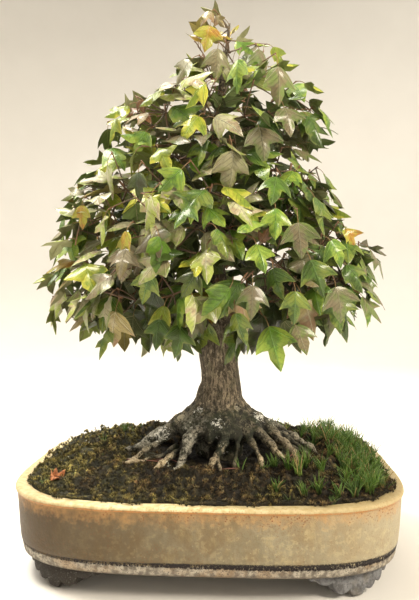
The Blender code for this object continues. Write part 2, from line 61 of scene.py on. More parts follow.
import bmesh
import bpy
import numpy as np
from mathutils import Euler, Quaternion, Vector, noise
from mathutils.bvhtree import BVHTree
from mathutils.kdtree import KDTree

SOLIDS_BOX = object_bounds()
UP = Vector((0.0, 0.0, 1.0))
print("nodes:", len(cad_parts))

# %% [markdown]
# ## Small helpers
#
# A few sums come back all through the lesson: even steps from 0 to 1, a value held between 0 and 1,
# a small random step, smooth noise over the ground. Each gets a name here, so that the rest reads
# more like what it means.

# %% Small helpers
def even(count):
    """Even shares from 0 to 1."""
    return [k / count for k in range(count + 1)]


def held(value):
    """The value, held between 0 and 1."""
    return min(1.0, max(0.0, value))


def jolt(dice, size):
    """A random step of up to the size along each axis."""
    return Vector([dice.uniform(-size, size) for _ in range(3)])


def ripple(x, y, scale, layer):
    """Smooth noise over the ground, between -1 and 1."""
    return noise.noise(Vector((x * scale, y * scale, layer)))


def square_to(way, axis):
    """A direction made square to an axis."""
    return (way - axis * way.dot(axis)).normalized()


def put(name, data, place=(0.0, 0.0, 0.0), towards=None):
    """A new object in the scene, turned to face a point if one is given."""
    made = bpy.data.objects.new(name, data)
    made.location = place
    if towards:
        made.rotation_euler = (Vector(towards) - Vector(place)).to_track_quat("-Z", "Y").to_euler()
    bpy.context.scene.collection.objects.link(made)
    return made


def mesh_of(shape, name):
    """The bmesh as a mesh."""
    data = bpy.data.meshes.new(name)
    shape.to_mesh(data)
    shape.free()
    return data


def mesh_from(name, corners, faces, **layers):
    """A mesh from arrays, with a number at each corner for every layer."""
    data = bpy.data.meshes.new(name)
    data.from_pydata(corners, [], faces)
    for layer, values in layers.items():
        data.attributes.new(layer, "FLOAT", "POINT").data.foreach_set("value", values)
    return data


print("helpers ready")

# %% [markdown]
# ## The photographer's place
#
# The picture was taken with a phone, held a little over the pot's rim and about 0.6 m away. Lines
# along the rim gave the height and the distance, so the camera can be set by numbers, with no
# framing by eye. A vertical sensor fit keeps the frame whatever the picture's proportions are.

# %% Camera
lens = bpy.data.cameras.new("camera")
lens.sensor_fit = "VERTICAL"
lens.sensor_height = 36.0
lens.lens = 33.6
lens.clip_start = 0.01
camera = put("camera", lens, (0.0322, -0.576, 0.2475), (-0.0015, 0.0, 0.2435))
bpy.context.scene.camera = camera
bpy.context.scene.view_settings.view_transform = "Standard"
print("camera at", tuple(round(x, 3) for x in camera.location))

# %% [markdown]
# ## Shader maths that reads like maths
#
# A material's nodes are easier to follow as sums. A `Field` is one socket, and adding or
# multiplying fields adds the Math nodes. A `Finish` is one material. One of its methods adds any
# other node: its type, its settings, and then the values or links of its sockets. Another lays
# coats of colour over one another, as a painter would, each with its own share.

# %% Fields and finishes
class Field:
    """A number, colour or vector that varies over a surface."""

    def __init__(self, finish, socket):
        self.finish = finish
        self.socket = socket

    def sum_of(self, operation, *terms):
        return self.finish.node("ShaderNodeMath", {"operation": operation}, terms)

    def __add__(self, other):
        return self.sum_of("ADD", self, other)

    def __radd__(self, other):
        return self.sum_of("ADD", other, self)

    def __sub__(self, other):
        return self.sum_of("SUBTRACT", self, other)

    def __rsub__(self, other):
        return self.sum_of("SUBTRACT", other, self)

    def __mul__(self, other):
        return self.sum_of("MULTIPLY", self, other)

    def __rmul__(self, other):
        return self.sum_of("MULTIPLY", other, self)

    def __abs__(self):
        return self.sum_of("ABSOLUTE", self)

    def least(self, other):
        return self.sum_of("MINIMUM", self, other)

    def most(self, other):
        return self.sum_of("MAXIMUM", self, other)

    def rise(self, low, high):
        """0 under low, 1 over high, and smooth between; low may be the larger."""
        settings = {"interpolation_type": "SMOOTHSTEP"}
        return self.finish.node("ShaderNodeMapRange", settings, {0: self, 1: low, 2: high})


class Finish:
    """A material in the making. Its place is where a point of the piece is, in metres."""

    def __init__(self, name, roughness=0.6, **constants):
        self.material = bpy.data.materials.new(name)
        self.material.use_nodes = True
        self.tree = self.material.node_tree
        self.shader = self.tree.nodes["Principled BSDF"]
        self.shader.inputs["Roughness"].default_value = roughness
        for socket, value in constants.items():
            self.shader.inputs[socket.replace("_", " ")].default_value = value
        self.place = self.node("ShaderNodeTexCoord", output="Object")

    def node(self, kind, settings=None, inputs=(), output=0):
        made = self.tree.nodes.new(kind)
        for name, value in (settings or {}).items():
            setattr(made, name, value)
        pairs = inputs.items() if isinstance(inputs, dict) else enumerate(inputs)
        for key, value in pairs:
            if isinstance(value, Field):
                self.tree.links.new(value.socket, made.inputs[key])
            else:
                made.inputs[key].default_value = value
        return Field(self, made.outputs[output])

    def parts(self, vector):
        split = self.node("ShaderNodeSeparateXYZ", inputs=[vector])
        return [Field(self, split.socket.node.outputs[k]) for k in range(3)]

    def cloud(self, scale, detail=3.0, rough=0.55, warp=0.0):
        """Noise between 0 and 1; three scales, one for each axis, stretch it."""
        vector = self.place
        if isinstance(scale, tuple):
            vector = self.node("ShaderNodeVectorMath", {"operation": "MULTIPLY"}, [vector, scale])
            scale = 1.0
        inputs = {"Vector": vector, "Scale": scale, "Detail": detail, "Roughness": rough, "Distortion": warp}
        return self.node("ShaderNodeTexNoise", inputs=inputs)

    def cells(self, scale):
        """0 in the middle of a grain, rising towards its edge."""
        inputs = {"Vector": self.place, "Scale": scale}
        return self.node("ShaderNodeTexVoronoi", inputs=inputs, output="Distance")

    def mix(self, share, first, second):
        """The first colour where the share is 0, the second where it is 1."""
        first, second = (c if isinstance(c, Field) else (*c, 1.0) for c in (first, second))
        return self.node("ShaderNodeMix", {"data_type": "RGBA"}, {0: share, 6: first, 7: second}, 2)

    def coats(self, colour, *layers):
        """The colour with others laid over it, each layer a share and a colour."""
        for share, over in layers:
            colour = self.mix(share, colour, over)
        return colour

    def attributes(self, *names):
        """The numbers that the mesh carries at its corners."""
        return [self.node("ShaderNodeAttribute", {"attribute_name": name}, output="Fac") for name in names]

    def distance(self, centre):
        return self.node("ShaderNodeVectorMath", {"operation": "DISTANCE"}, [self.place, centre], "Value")

    def near(self, centre, radius):
        """1 at a place, falling to 0 at the radius."""
        return self.distance(centre).rise(radius, 0.0)

    def wear(self, colour, roughness=None, height=None, depth=0.001):
        """Links what varies to the shader: its colour, its roughness and the bumps of its surface."""
        self.tree.links.new(colour.socket, self.shader.inputs["Base Color"])
        if roughness:
            self.tree.links.new(roughness.socket, self.shader.inputs["Roughness"])
        if height:
            bump = self.node("ShaderNodeBump", inputs={"Distance": depth, "Height": height})
            self.tree.links.new(bump.socket, self.shader.inputs["Normal"])
        return self.material


print("shader helpers ready")

# %% [markdown]
# ## The studio
#
# A plain pale bowl stands in for a sheet of studio paper: a floor that curves up all round, so there
# is no horizon line from any side. It is a profile spun about the upright axis. The light comes from
# four large discs: a warm key on the right and in front, the strongest one over the left, one far
# left and one behind. A dim warm sky opens the shade.

# %% Floor and lamps
FLOOR_Z = -0.0004


def studio_bowl():
    """The floor and its wall, spun from their profile."""
    profile = [(0.0, FLOOR_Z), (1.5, FLOOR_Z)]
    for share in even(8)[1:]:
        turn = 0.5 * math.pi * share
        profile.append((1.5 + 0.8 * math.sin(turn), 0.8 - 0.8 * math.cos(turn)))
    profile.append((2.3, 2.6))
    bowl = bmesh.new()
    verts = [bowl.verts.new((x, 0.0, z)) for x, z in profile]
    edges = [bowl.edges.new(pair) for pair in zip(verts, verts[1:])]
    whole = {"axis": (0, 0, 1), "cent": (0, 0, 0), "angle": math.tau, "use_merge": True}
    bmesh.ops.spin(bowl, geom=verts + edges, steps=64, **whole)
    bmesh.ops.remove_doubles(bowl, verts=bowl.verts, dist=1e-5)
    bmesh.ops.recalc_face_normals(bowl, faces=bowl.faces)
    data = mesh_of(bowl, "studio")
    data.shade_smooth()
    return data


paper = Finish("studio_paper", 0.85)
paper.wear(paper.mix(paper.cloud(6.0, 2.0), (0.74, 0.72, 0.69), (0.79, 0.77, 0.74)))
studio = put("studio", studio_bowl())
studio.data.materials.append(paper.material)

# name, place, size in metres, watts and colour
LAMPS = (
    ("key", (1.0, -0.62, 1.0), 0.5, 22.5, (1.0, 0.9, 0.74)),
    ("top", (-0.55, 0.0, 1.7), 0.7, 37.0, (1.0, 0.94, 0.82)),
    ("left", (-1.0, 0.35, 1.4), 0.7, 19.0, (1.0, 0.97, 0.88)),
    ("back", (-0.2, 1.3, 1.3), 1.0, 12.0, (1.0, 0.96, 0.88)),
)
for name, place, size, watts, colour in LAMPS:
    light = bpy.data.lights.new(name, "AREA")
    light.shape = "DISK"
    light.size = size
    light.energy = watts
    light.color = colour
    put(name, light, place, (0.0, 0.0, 0.25))
world = bpy.data.worlds.new("studio_air")
world.use_nodes = True
world.node_tree.nodes["Background"].inputs["Color"].default_value = (1.0, 0.95, 0.86, 1.0)
world.node_tree.nodes["Background"].inputs["Strength"].default_value = 0.27
bpy.context.scene.world = world
print("studio and", len(bpy.data.lights), "lamps")

# %% [markdown]
# ## From a mesh to a piece
#
# Every piece goes through one function: it turns a bmesh into an object, gives it its finish,
# smooths it, lets it ride with the tree and hides the solids that it stands for. Two more make the
# shapes that come back most: a skin swept over rings, and the rings of a limb along its course.

# %% Making a piece
def piece_from(shape, name, finishes, stands_for=(), smooth=True):
    """The bmesh, or a finished mesh, as a piece of the tree."""
    data = mesh_of(shape, name) if isinstance(shape, bmesh.types.BMesh) else shape
    for finish in finishes:
        data.materials.append(finish)
    data.polygons.foreach_set("use_smooth", [smooth] * len(data.polygons))
    piece = put(name, data)
    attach(piece, "root")
    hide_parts(*stands_for)
    print(name, len(data.polygons), "faces")


def swept(rings):
    """A skin from one ring of points, its edge extruded to each of the others, and both ends filled."""
    shape = bmesh.new()
    loop = bmesh.ops.create_circle(shape, segments=len(rings[0]), radius=1.0)["verts"]
    edges = list(shape.edges)
    for vert, point in zip(loop, rings[0]):
        vert.co = point
    ends = [edges]
    for ring in rings[1:]:
        grown = bmesh.ops.extrude_edge_only(shape, edges=edges)["geom"]
        fresh = {item for item in grown if isinstance(item, bmesh.types.BMVert)}
        loop = [next(e.other_vert(v) for e in v.link_edges if e.other_vert(v) in fresh) for v in loop]
        edges = [e for e in grown if isinstance(e, bmesh.types.BMEdge) and all(v in fresh for v in e.verts)]
        for vert, point in zip(loop, ring):
            vert.co = point
    for edges in ends + [edges]:
        bmesh.ops.contextual_create(shape, geom=edges)
    bmesh.ops.recalc_face_normals(shape, faces=shape.faces)
    return shape


def tube_rings(points, radii, sides, side=None):
    """Rings square to a limb's course, their first corner on the side given."""
    rings = []
    side = side or (points[1] - points[0]).orthogonal()
    turns = [math.tau * k / sides for k in range(sides)]
    for i, (point, radius) in enumerate(zip(points, radii)):
        along = (points[min(i + 1, len(points) - 1)] - points[max(i - 1, 0)]).normalized()
        side = square_to(side, along)
        across = along.cross(side)
        rings.append([point + radius * (math.cos(a) * side + math.sin(a) * across) for a in turns])
    return rings


def tube_walls(low, last, sides):
    """The faces between a tube's rings, from the corner low to the ring that starts at last."""
    faces = []
    for first in range(low, last, sides):
        for k in range(sides):
            after = first + (k + 1) % sides
            faces.append((first + k, after, after + sides, first + sides + k))
    return faces


print("piece helpers ready")

# %% [markdown]
# ## The measurements that the solids were made from
#
# The crown's outline, the tiers of foliage and the trunk's course are the same numbers as in the
# solids' own source, so whatever grows here stays where the solids are.

# %% Measurements
GAP = 0.0003
POT_LENGTH = 0.36
POT_DEPTH = 0.272
POT_POWER = 3.8
FOOT_HEIGHT = 0.021
RIM_Z = 0.079
MOUND_RISE = 0.0105
GROUND_Z = RIM_Z + MOUND_RISE
TREE_X = 0.008
# height over the ground, x, y and radius of the trunk
TRUNK_COURSE = (
    (-0.006, 0.0, 0.0, 0.042), (0.01, 0.0, 0.0, 0.04), (0.022, -0.001, 0.0, 0.037),
    (0.033, -0.001, 0.0, 0.033), (0.044, 0.0, 0.0, 0.0285), (0.057, 0.001, 0.0, 0.0235),
    (0.07, 0.002, 0.0, 0.02), (0.084, 0.001, 0.001, 0.0192), (0.112, -0.002, 0.002, 0.0205),
    (0.145, -0.004, 0.001, 0.0165), (0.2, -0.007, -0.003, 0.012), (0.26, -0.002, 0.002, 0.009),
    (0.32, -0.004, 0.0, 0.0062), (0.365, 0.003, -0.002, 0.0042), (0.392, 0.006, 0.0, 0.003),
)
# height, sideways middle and half width of the crown
CROWN_OUTLINE = (
    (0.182, -0.004, 0.06), (0.194, -0.004, 0.118), (0.208, 0.0, 0.16), (0.23, 0.001, 0.177),
    (0.262, 0.001, 0.178), (0.285, 0.001, 0.177), (0.308, -0.002, 0.166), (0.33, -0.01, 0.154),
    (0.352, -0.01, 0.143), (0.374, -0.005, 0.132), (0.396, 0.003, 0.124), (0.428, 0.007, 0.124),
    (0.45, 0.01, 0.107), (0.47, 0.019, 0.079), (0.494, 0.018, 0.058), (0.522, 0.006, 0.038),
    (0.551, 0.001, 0.018),
)
CROWN_DEPTH = 0.67
CROWN_FRONT = 0.007
# height, how many masses and the first one's bearing
TIERS = ((0.24, 5, 270.0), (0.327, 4, 270.0), (0.409, 3, 270.0))
TIER_STAGGER = 0.015
TIER_REACH = 0.6
APEX_HEIGHT = 0.486
APEX_STEM = 0.034


def between(table, height):
    """The table's row at a height, read between its two nearest rows."""
    if height <= table[0][0]:
        return table[0][1:]
    for low, high in zip(table, table[1:]):
        if height <= high[0]:
            share = (height - low[0]) / (high[0] - low[0])
            return tuple(a + share * (b - a) for a, b in zip(low[1:], high[1:]))
    return table[-1][1:]


def trunk_at(height):
    """The trunk's axis and radius at a height above the floor."""
    x, y, radius = between(TRUNK_COURSE, height - GROUND_Z)
    return Vector((TREE_X + x, y, height)), radius


def trunk_line():
    rows = [trunk_at(GROUND_Z + row[0]) for row in TRUNK_COURSE]
    return [row[0] for row in rows], [row[1] for row in rows]


def crown_at(height):
    """Sideways middle, half width and half depth of the crown at a height."""
    middle, half = between(CROWN_OUTLINE, height)
    return middle, half, min(half, CROWN_DEPTH * half + CROWN_FRONT)


def in_crown(point):
    if not CROWN_OUTLINE[0][0] < point.z < CROWN_OUTLINE[-1][0]:
        return False
    middle, width, depth = crown_at(point.z)
    return ((point.x - middle) / width) ** 2 + (point.y / depth) ** 2 < 1.0


print("crown from", CROWN_OUTLINE[0][0], "to", CROWN_OUTLINE[-1][0], "m")

# %% [markdown]
# ## Where the foliage is carried
#
# A bonsai's crown is trained in pads: each main bough ends in a mass of twigs, and the masses share
# the crown between them. A point belongs to the mass whose middle is nearest.

# %% The masses of foliage
def mass_plan():
    """Name, tier and middle of every mass of foliage."""
    plan = []
    for tier, (height, count, first) in enumerate(TIERS):
        middle, width, depth = crown_at(height)
        for k in range(count):
            bearing = math.radians(first) + math.tau * k / count
            x = middle + TIER_REACH * width * math.cos(bearing)
            y = TIER_REACH * depth * math.sin(bearing)
            stagger = TIER_STAGGER if k % 2 else -TIER_STAGGER
            plan.append((f"{tier + 1}_{k + 1}", tier, Vector((x, y, height + stagger))))
    plan.append(("apex", len(TIERS), Vector((crown_at(APEX_HEIGHT)[0], 0.0, APEX_HEIGHT))))
    return plan


MASSES = mass_plan()
BOUGH_MASSES = [index for index, mass in enumerate(MASSES) if mass[1] < len(TIERS)]
BOUGH_DROP = 0.03
BOUGH_ARCH = 0.014
BOUGH_RADII = (0.0072, 0.0056, 0.0042)
BOUGH_TAPER = 0.52
BOUGH_SHARES = (0.46, 0.8)
LIMB_STEPS = 4
STEM_SIDES = 4
STEM_OVERRUN = 1.18
STEM_COLLAR = 0.002
STEM_GIRTH = 0.92
STEM_TAPER = 0.17
SEAT_MARGIN = 0.005
TWIG_RADIUS = 0.0011


def cell_margin(point, index):
    """How far inside its own share of the crown a point is: nearer its mass than any other."""
    own = MASSES[index][2]
    margin = math.inf
    for other, (_, _, centre) in enumerate(MASSES):
        if other != index:
            apart = (centre - own).length
            nearer = (centre - point).length_squared - (own - point).length_squared
            margin = min(margin, nearer / (2.0 * apart))
    return margin


def arch(start, end, rise, share):
    """A point on a limb's course, which arches up on its way out."""
    point = start.lerp(end, share)
    point.z += rise * 4.0 * share * (1.0 - share)
    return point


def limb_course(index):
    """Start, end and arch of the line that a bough and its mass's stem share."""
    _, tier, centre = MASSES[index]
    if tier == len(TIERS):
        return trunk_line()[0][-1], centre + UP * APEX_STEM, 0.0
    return trunk_at(centre.z - BOUGH_DROP)[0], centre, BOUGH_ARCH


def bough_end(index):
    start, end, rise = limb_course(index)
    share, most = BOUGH_SHARES
    while cell_margin(arch(start, end, rise, share), index) < SEAT_MARGIN and share < most:
        share += 0.02
    return share


def bough_line(index):
    start, end, rise = limb_course(index)
    last = bough_end(index)
    points = [arch(start, end, rise, last * share) for share in even(LIMB_STEPS)]
    first = BOUGH_RADII[MASSES[index][1]]
    return points, [first * (1.0 + (BOUGH_TAPER - 1.0) * share) for share in even(LIMB_STEPS)]


def stem_line(index):
    """The mass's stem, from its bough's tip or the trunk's."""
    start, end, rise = limb_course(index)
    if MASSES[index][1] == len(TIERS):
        carrier, widths = trunk_line()
        first = 0.0
    else:
        carrier, widths = bough_line(index)
        first = bough_end(index)
    along = (carrier[-1] - carrier[-2]).normalized()
    foot = carrier[-1] + along * GAP
    thick = STEM_GIRTH * widths[-1]
    points = [foot, foot + along * STEM_COLLAR]
    radii = [thick, thick]
    for k in range(1, LIMB_STEPS + 1):
        points.append(arch(start, end, rise, first + (STEM_OVERRUN - first) * k / LIMB_STEPS))
        radii.append(max(TWIG_RADIUS, thick * (1.0 - STEM_TAPER * k)))
    return points, radii


print("masses:", ", ".join(mass[0] for mass in MASSES))

# %% [markdown]
# ## How a spray grows
#
# Maple twigs end in opposite pairs of leaves. The rule tries places in a mass's share of the crown,
# near its outside, and runs a twig to each from the nearest that stands. A twig or leaf that would
# cut through another is tried again. The dice are seeded, so the same tree grows each time.

# %% Testing what is in the way
LIMB_CLEARANCE = 0.0022
BOUGH_SIDES = 6
NEAR = 0.086


def skin_tree(rings):
    """A limb's skin, for testing what runs through it."""
    corners = [point for ring in rings for point in ring]
    sides = len(rings[0])
    last = len(corners) - sides
    ends = [tuple(range(sides)), tuple(range(last, len(corners)))]
    return BVHTree.FromPolygons(corners, tube_walls(0, last, sides) + ends)


def limb_skins():
    """The trunk and every bough, grown by the room that foliage leaves round them."""
    skins = []
    for points, radii in [trunk_line()] + [bough_line(index) for index in BOUGH_MASSES]:
        grown = [radius + LIMB_CLEARANCE for radius in radii]
        skins.append(skin_tree(tube_rings(points, grown, BOUGH_SIDES)))
    return skins


def crosses(tree, heart, standing):
    """Whether a new part cuts through what stands near it."""
    near = [other for other, place in standing if (heart - place).length < NEAR]
    return any(tree.overlap(other) for other in near)


LIMBS = limb_skins()
print("limbs to keep clear of:", len(LIMBS))

# %% A leaf's seat and how it hangs
SEAT_TOP_SHARE = 0.4
LEAF_THICKNESS = 0.034
LEAF_SUNK = 0.0005
LEAF_STEP = 0.0032
LEAF_STRAIGHTEST = 0.9
LEAF_OUT = (0.35, 0.9)
LEAF_ASIDE = (0.3, 1.0)
LEAF_ASIDE_RISE = 0.4
LEAF_DROOP = (0.0, 0.9)
LEAF_FACE = (0.7, 0.65)
LEAF_TILT = 0.3
LEAF_ROOT = (-0.4, 0.0, -0.14)
LEAF_HALF = ((-0.01, 0.035, 0.0), (0.5, 0.5, 0.05), (0.56, 0.2, 0.0))
LEAF_TIP = (1.0, 0.0, -0.06)
LEAF_HEART = (0.32, 0.0, -0.01)
AXIS_SIGNS = [(x, y, z) for x in (-1, 0, 1) for y in (-1, 0, 1) for z in (-1, 0, 1)]
DIRECTIONS = [Vector(signs).normalized() for signs in AXIS_SIGNS if any(signs)]


def outward_at(point, depths):
    """Which way the crown's outline lies, if the point is in the shell that bears leaves."""
    near, far = depths
    near = min(near, SEAT_TOP_SHARE * crown_at(point.z)[2])
    if not all(in_crown(point + near * way) for way in DIRECTIONS):
        return None
    outside = [way for way in DIRECTIONS if not in_crown(point + far * way)]
    return sum(outside, Vector()).normalized() if outside else None


def leaf_axes(outward, along, side, dice):
    """A leaf's midrib and its face: it hangs out and down, and faces out and up."""
    lift = max(0.0, outward.z)
    across = along.cross(UP)
    if across.length < 0.2:
        across = along.cross(Vector((0.0, 1.0, 0.0)))
    across = across.normalized() * side + UP * dice.uniform(-LEAF_ASIDE_RISE, LEAF_ASIDE_RISE)
    droop = dice.uniform(*LEAF_DROOP) * (1.0 - lift * lift)
    midrib = outward * dice.uniform(*LEAF_OUT) + across * dice.uniform(*LEAF_ASIDE) - UP * droop
    midrib.normalize()
    face = outward * LEAF_FACE[0] + UP * LEAF_FACE[1] + jolt(dice, LEAF_TILT)
    return midrib, square_to(face, midrib)


def root_from_foot(midrib, face, length):
    """From the blade's foot back to where its stalk leaves the twig."""
    return (midrib * LEAF_ROOT[0] + face * LEAF_ROOT[2]) * length


def leaf_corners(root, midrib, face, length):
    """A leaf's outline round its three lobes, then the middle of its two faces."""
    across = midrib.cross(face)
    base = root - root_from_foot(midrib, face, length)

    def place(row, sign=1.0, rise=0.0):
        return base + (midrib * row[0] + across * (sign * row[1]) + face * (row[2] + rise)) * length

    rim = [place(row) for row in (LEAF_ROOT, *LEAF_HALF, LEAF_TIP)]
    rim += [place(row, -1.0) for row in reversed(LEAF_HALF)]
    half = LEAF_THICKNESS / 2
    return rim, place(LEAF_HEART, 1.0, half), place(LEAF_HEART, 1.0, -half)


def leaf_is_free(rim, tree, index, margin):
    """Whether a leaf stays in its mass's share of the crown and off the limbs."""
    for point in rim[1:]:
        if not in_crown(point) or cell_margin(point, index) < margin:
            return False
    return not any(tree.overlap(limb) for limb in LIMBS)


def leaf_faces(count):
    faces = []
    for k in range(count):
        faces.append(((k - 1) % count, k, count))
        faces.append((k, (k - 1) % count, count + 1))
    return faces


print("leaf rule ready")

# %% [markdown]
# ## Two growths by one rule
#
# The main growth is the solids' own. A real crown also has short shoots half way along each twig,
# with smaller leaves, and the gaps close with them. The finer growth is the same rule with closer
# seats, thinner twigs and leaves that may lean a little into a neighbouring mass.

# %% Growing a mass
SEAT_BOX = 0.11
TWIG_GAIN = 1.35
TWIG_OVERRUN = 0.0016
TWIG_CLEAR = 0.002
APEX_LEAVES = 0.78
FINE_TOP = 0.535
FINE_FROM = 0.016
MID_TWIG = 0.55


def underside(x):
    """The height under which only the main sprays hang: the crown's lower edge lifts at both ends."""
    return 0.236 + 0.022 * min(1.0, abs(x) / 0.12) ** 2


# tries, the part of them that asks for a full pair, room between seats, room to the next mass, depth of
# the shell, lengths of twigs, their radius, how far behind a seat new twigs start, lengths of leaves,
# tries at each leaf, how far a leaf stays from the next mass, and where seats may be
MAIN_GROWTH = SimpleNamespace(
    tries=2800, paired=0.7, spacing=0.0236, margin=SEAT_MARGIN, depths=(0.026, 0.058),
    twigs=(0.006, 0.06), radius=TWIG_RADIUS, back=0.006, leaves=(0.032, 0.041), leaf_tries=16,
    leaf_margin=GAP, fits=lambda seat: True,
)
FINE_GROWTH = SimpleNamespace(
    tries=2600, paired=0.0, spacing=0.0165, margin=0.0, depths=(0.01, 0.085),
    twigs=(0.005, 0.048), radius=0.0007, back=0.003, leaves=(0.027, 0.037), leaf_tries=8,
    leaf_margin=-0.006, fits=lambda seat: underside(seat.x) < seat.z < FINE_TOP,
)


def leaf_pair(index, seat, outward, along, dice, standing, growth):
    """Two leaves on opposite sides of a twig's end, each tried a few ways until it is free."""
    pair = []
    for side in (-1.0, 1.0):
        for _ in range(growth.leaf_tries):
            length = dice.uniform(*growth.leaves)
            if seat.z > APEX_HEIGHT:
                length *= APEX_LEAVES
            midrib, face = leaf_axes(outward, along, side, dice)
            if midrib.dot(along) > LEAF_STRAIGHTEST:
                continue
            root = seat - along * (LEAF_STEP * (1.0 + side) / 2) - midrib * LEAF_SUNK
            rim, top, under = leaf_corners(root, midrib, face, length)
            heart = top.lerp(under, 0.5)
            tree = BVHTree.FromPolygons(rim + [top, under], leaf_faces(len(rim)))
            if not leaf_is_free(rim, tree, index, growth.leaf_margin):
                continue
            if not crosses(tree, heart, standing + [leaf[1:] for leaf in pair]):
                pair.append(((root, midrib, face, length, index), tree, heart))
                break
    return pair


def free_twig(seat, nodes, standing, growth):
    """The shortest twig to a seat that cuts through nothing, its direction and its middle."""
    for start, thick in sorted(nodes, key=lambda node: (node[0] - seat).length):
        run = seat - start
        if not growth.twigs[0] < run.length < growth.twigs[1]:
            continue
        along = run.normalized()
        radius = growth.radius
        first = min(thick, radius * TWIG_GAIN)
        ends = [start - along * first, seat + along * TWIG_OVERRUN]
        edge = -UP if abs(along.z) < 0.95 else Vector((1.0, 0.0, 0.0))
        rings = tube_rings(ends, [first, radius], 3, edge)
        ahead = [point + along * (thick + radius + TWIG_CLEAR) for point in rings[0]]
        tree = skin_tree([ahead, rings[1]])
        middle = seat.lerp(start, 0.5)
        if not any(tree.overlap(limb) for limb in LIMBS) and not crosses(tree, middle, standing):
            return rings, along, middle, (start, seat, first, radius)
    return None


def keep(pair, leaves, standing):
    """Adds a pair to the leaves and to what stands."""
    leaves += [leaf[0] for leaf in pair]
    standing += [leaf[1:] for leaf in pair]


def fill_seats(index, dice, taken, nodes, twigs, leaves, standing, growth):
    """Twigs with their leaves at every free place of a mass."""
    for turn in range(growth.tries):
        seat = MASSES[index][2] + jolt(dice, SEAT_BOX)
        if not growth.fits(seat) or cell_margin(seat, index) < growth.margin:
            continue
        if any((seat - other).length < growth.spacing for other in taken):
            continue
        outward = outward_at(seat, growth.depths)
        twig = outward and free_twig(seat, nodes, standing, growth)
        if not twig:
            continue
        rings, along, middle, course = twig
        pair = leaf_pair(index, seat, outward, along, dice, standing, growth)
        if len(pair) < (2 if turn < growth.paired * growth.tries else 1):
            continue
        taken.append(seat)
        nodes.append((seat - along * growth.back, growth.radius))
        twigs.append(course)
        keep(pair, leaves, standing)
        standing.append((skin_tree(rings), middle))


def grow_mass(index, dice, taken):
    """A mass's stem, twigs and leaves, and what the finer growth needs to know of them."""
    stem, radii = stem_line(index)
    stretches = zip(stem[2:], stem[3:], radii[3:])
    nodes = [(low.lerp(high, 0.5), radius) for low, high, radius in stretches]
    along = (stem[-1] - stem[-2]).normalized()
    tip = stem[-1] - along * TWIG_OVERRUN
    standing = [(skin_tree(tube_rings(stem[:-1], radii[:-1], STEM_SIDES)), MASSES[index][2])]
    outward = outward_at(tip, MAIN_GROWTH.depths) or along
    twigs, leaves = [], []
    keep(leaf_pair(index, tip, outward, along, dice, standing, MAIN_GROWTH), leaves, standing)
    taken.append(tip)
    fill_seats(index, dice, taken, nodes, twigs, leaves, standing, MAIN_GROWTH)
    return twigs, leaves, nodes, standing


taken = []
GROWN = [grow_mass(index, random.Random(f"mass {mass[0]}"), taken) for index, mass in enumerate(MASSES)]
print("twigs:", sum(len(m[0]) for m in GROWN), "leaves:", sum(len(m[1]) for m in GROWN))

# %% Growing the finer sprays
def finer_sprays(index, dice, taken, standing):
    """Leaves half way along the main twigs, then thin twigs to every place that is still bare."""
    nodes = list(GROWN[index][2])
    twigs, leaves = [], []
    for start, seat, _, _ in GROWN[index][0]:
        middle = start.lerp(seat, MID_TWIG)
        outward = outward_at(middle, FINE_GROWTH.depths)
        if outward and (seat - start).length > FINE_FROM and middle.z > underside(middle.x):
            along = (seat - start).normalized()
            keep(leaf_pair(index, middle, outward, along, dice, standing, FINE_GROWTH), leaves, standing)
            nodes.append((middle, FINE_GROWTH.radius))
    stem = stem_line(index)[0]
    for low, high in zip(stem[2:], stem[3:]):
        along = (high - low).normalized()
        outward = outward_at(high, FINE_GROWTH.depths) or along
        keep(leaf_pair(index, high, outward, along, dice, standing, FINE_GROWTH), leaves, standing)
    fill_seats(index, dice, taken, nodes, twigs, leaves, standing, FINE_GROWTH)
    return twigs, leaves


standing = [piece for mass in GROWN for piece in mass[3]]
FINE = [finer_sprays(index, random.Random(f"fine {m[0]}"), taken, standing) for index, m in enumerate(MASSES)]
print("fine twigs:", sum(len(m[0]) for m in FINE), "fine leaves:", sum(len(m[1]) for m in FINE))

# %% [markdown]
# ## One leaf
#
# A trident maple's leaf has three lobes that point forward, smooth edges, a fold along each lobe's
# rib and a tip that hangs. We start from a small grid: its middle column becomes the midrib, and
# each row swings forward from the midrib to the leaf's edge, as the side veins do. Twelve moulds
# with other folds and curls keep the crown from looking stamped, and in each the two sides differ.

# %% Leaf moulds
# along the midrib, then the edge's place along and across, from the leaf's foot to its tip
LEAF_ROWS = (
    (0.0, 0.0, 0.02), (0.05, 0.012, 0.125), (0.13, 0.08, 0.255), (0.215, 0.2, 0.37), (0.295, 0.37, 0.47),
    (0.365, 0.565, 0.56), (0.43, 0.505, 0.35), (0.5, 0.505, 0.2), (0.65, 0.68, 0.205), (0.83, 0.86, 0.105),
    (1.0, 1.0, 0.004),
)
LEAF_COLUMNS = 4
LEAF_SHEET = 0.012
RIB_WAY = Vector((0.52, 0.56)).normalized()


def rib_gap(along, across):
    """How far a place on the blade is from the nearest of its three ribs."""
    side = abs(across)
    lobe = abs((along - 0.02) * RIB_WAY.y - side * RIB_WAY.x) if along < 0.7 else 1.0
    return min(side, lobe)


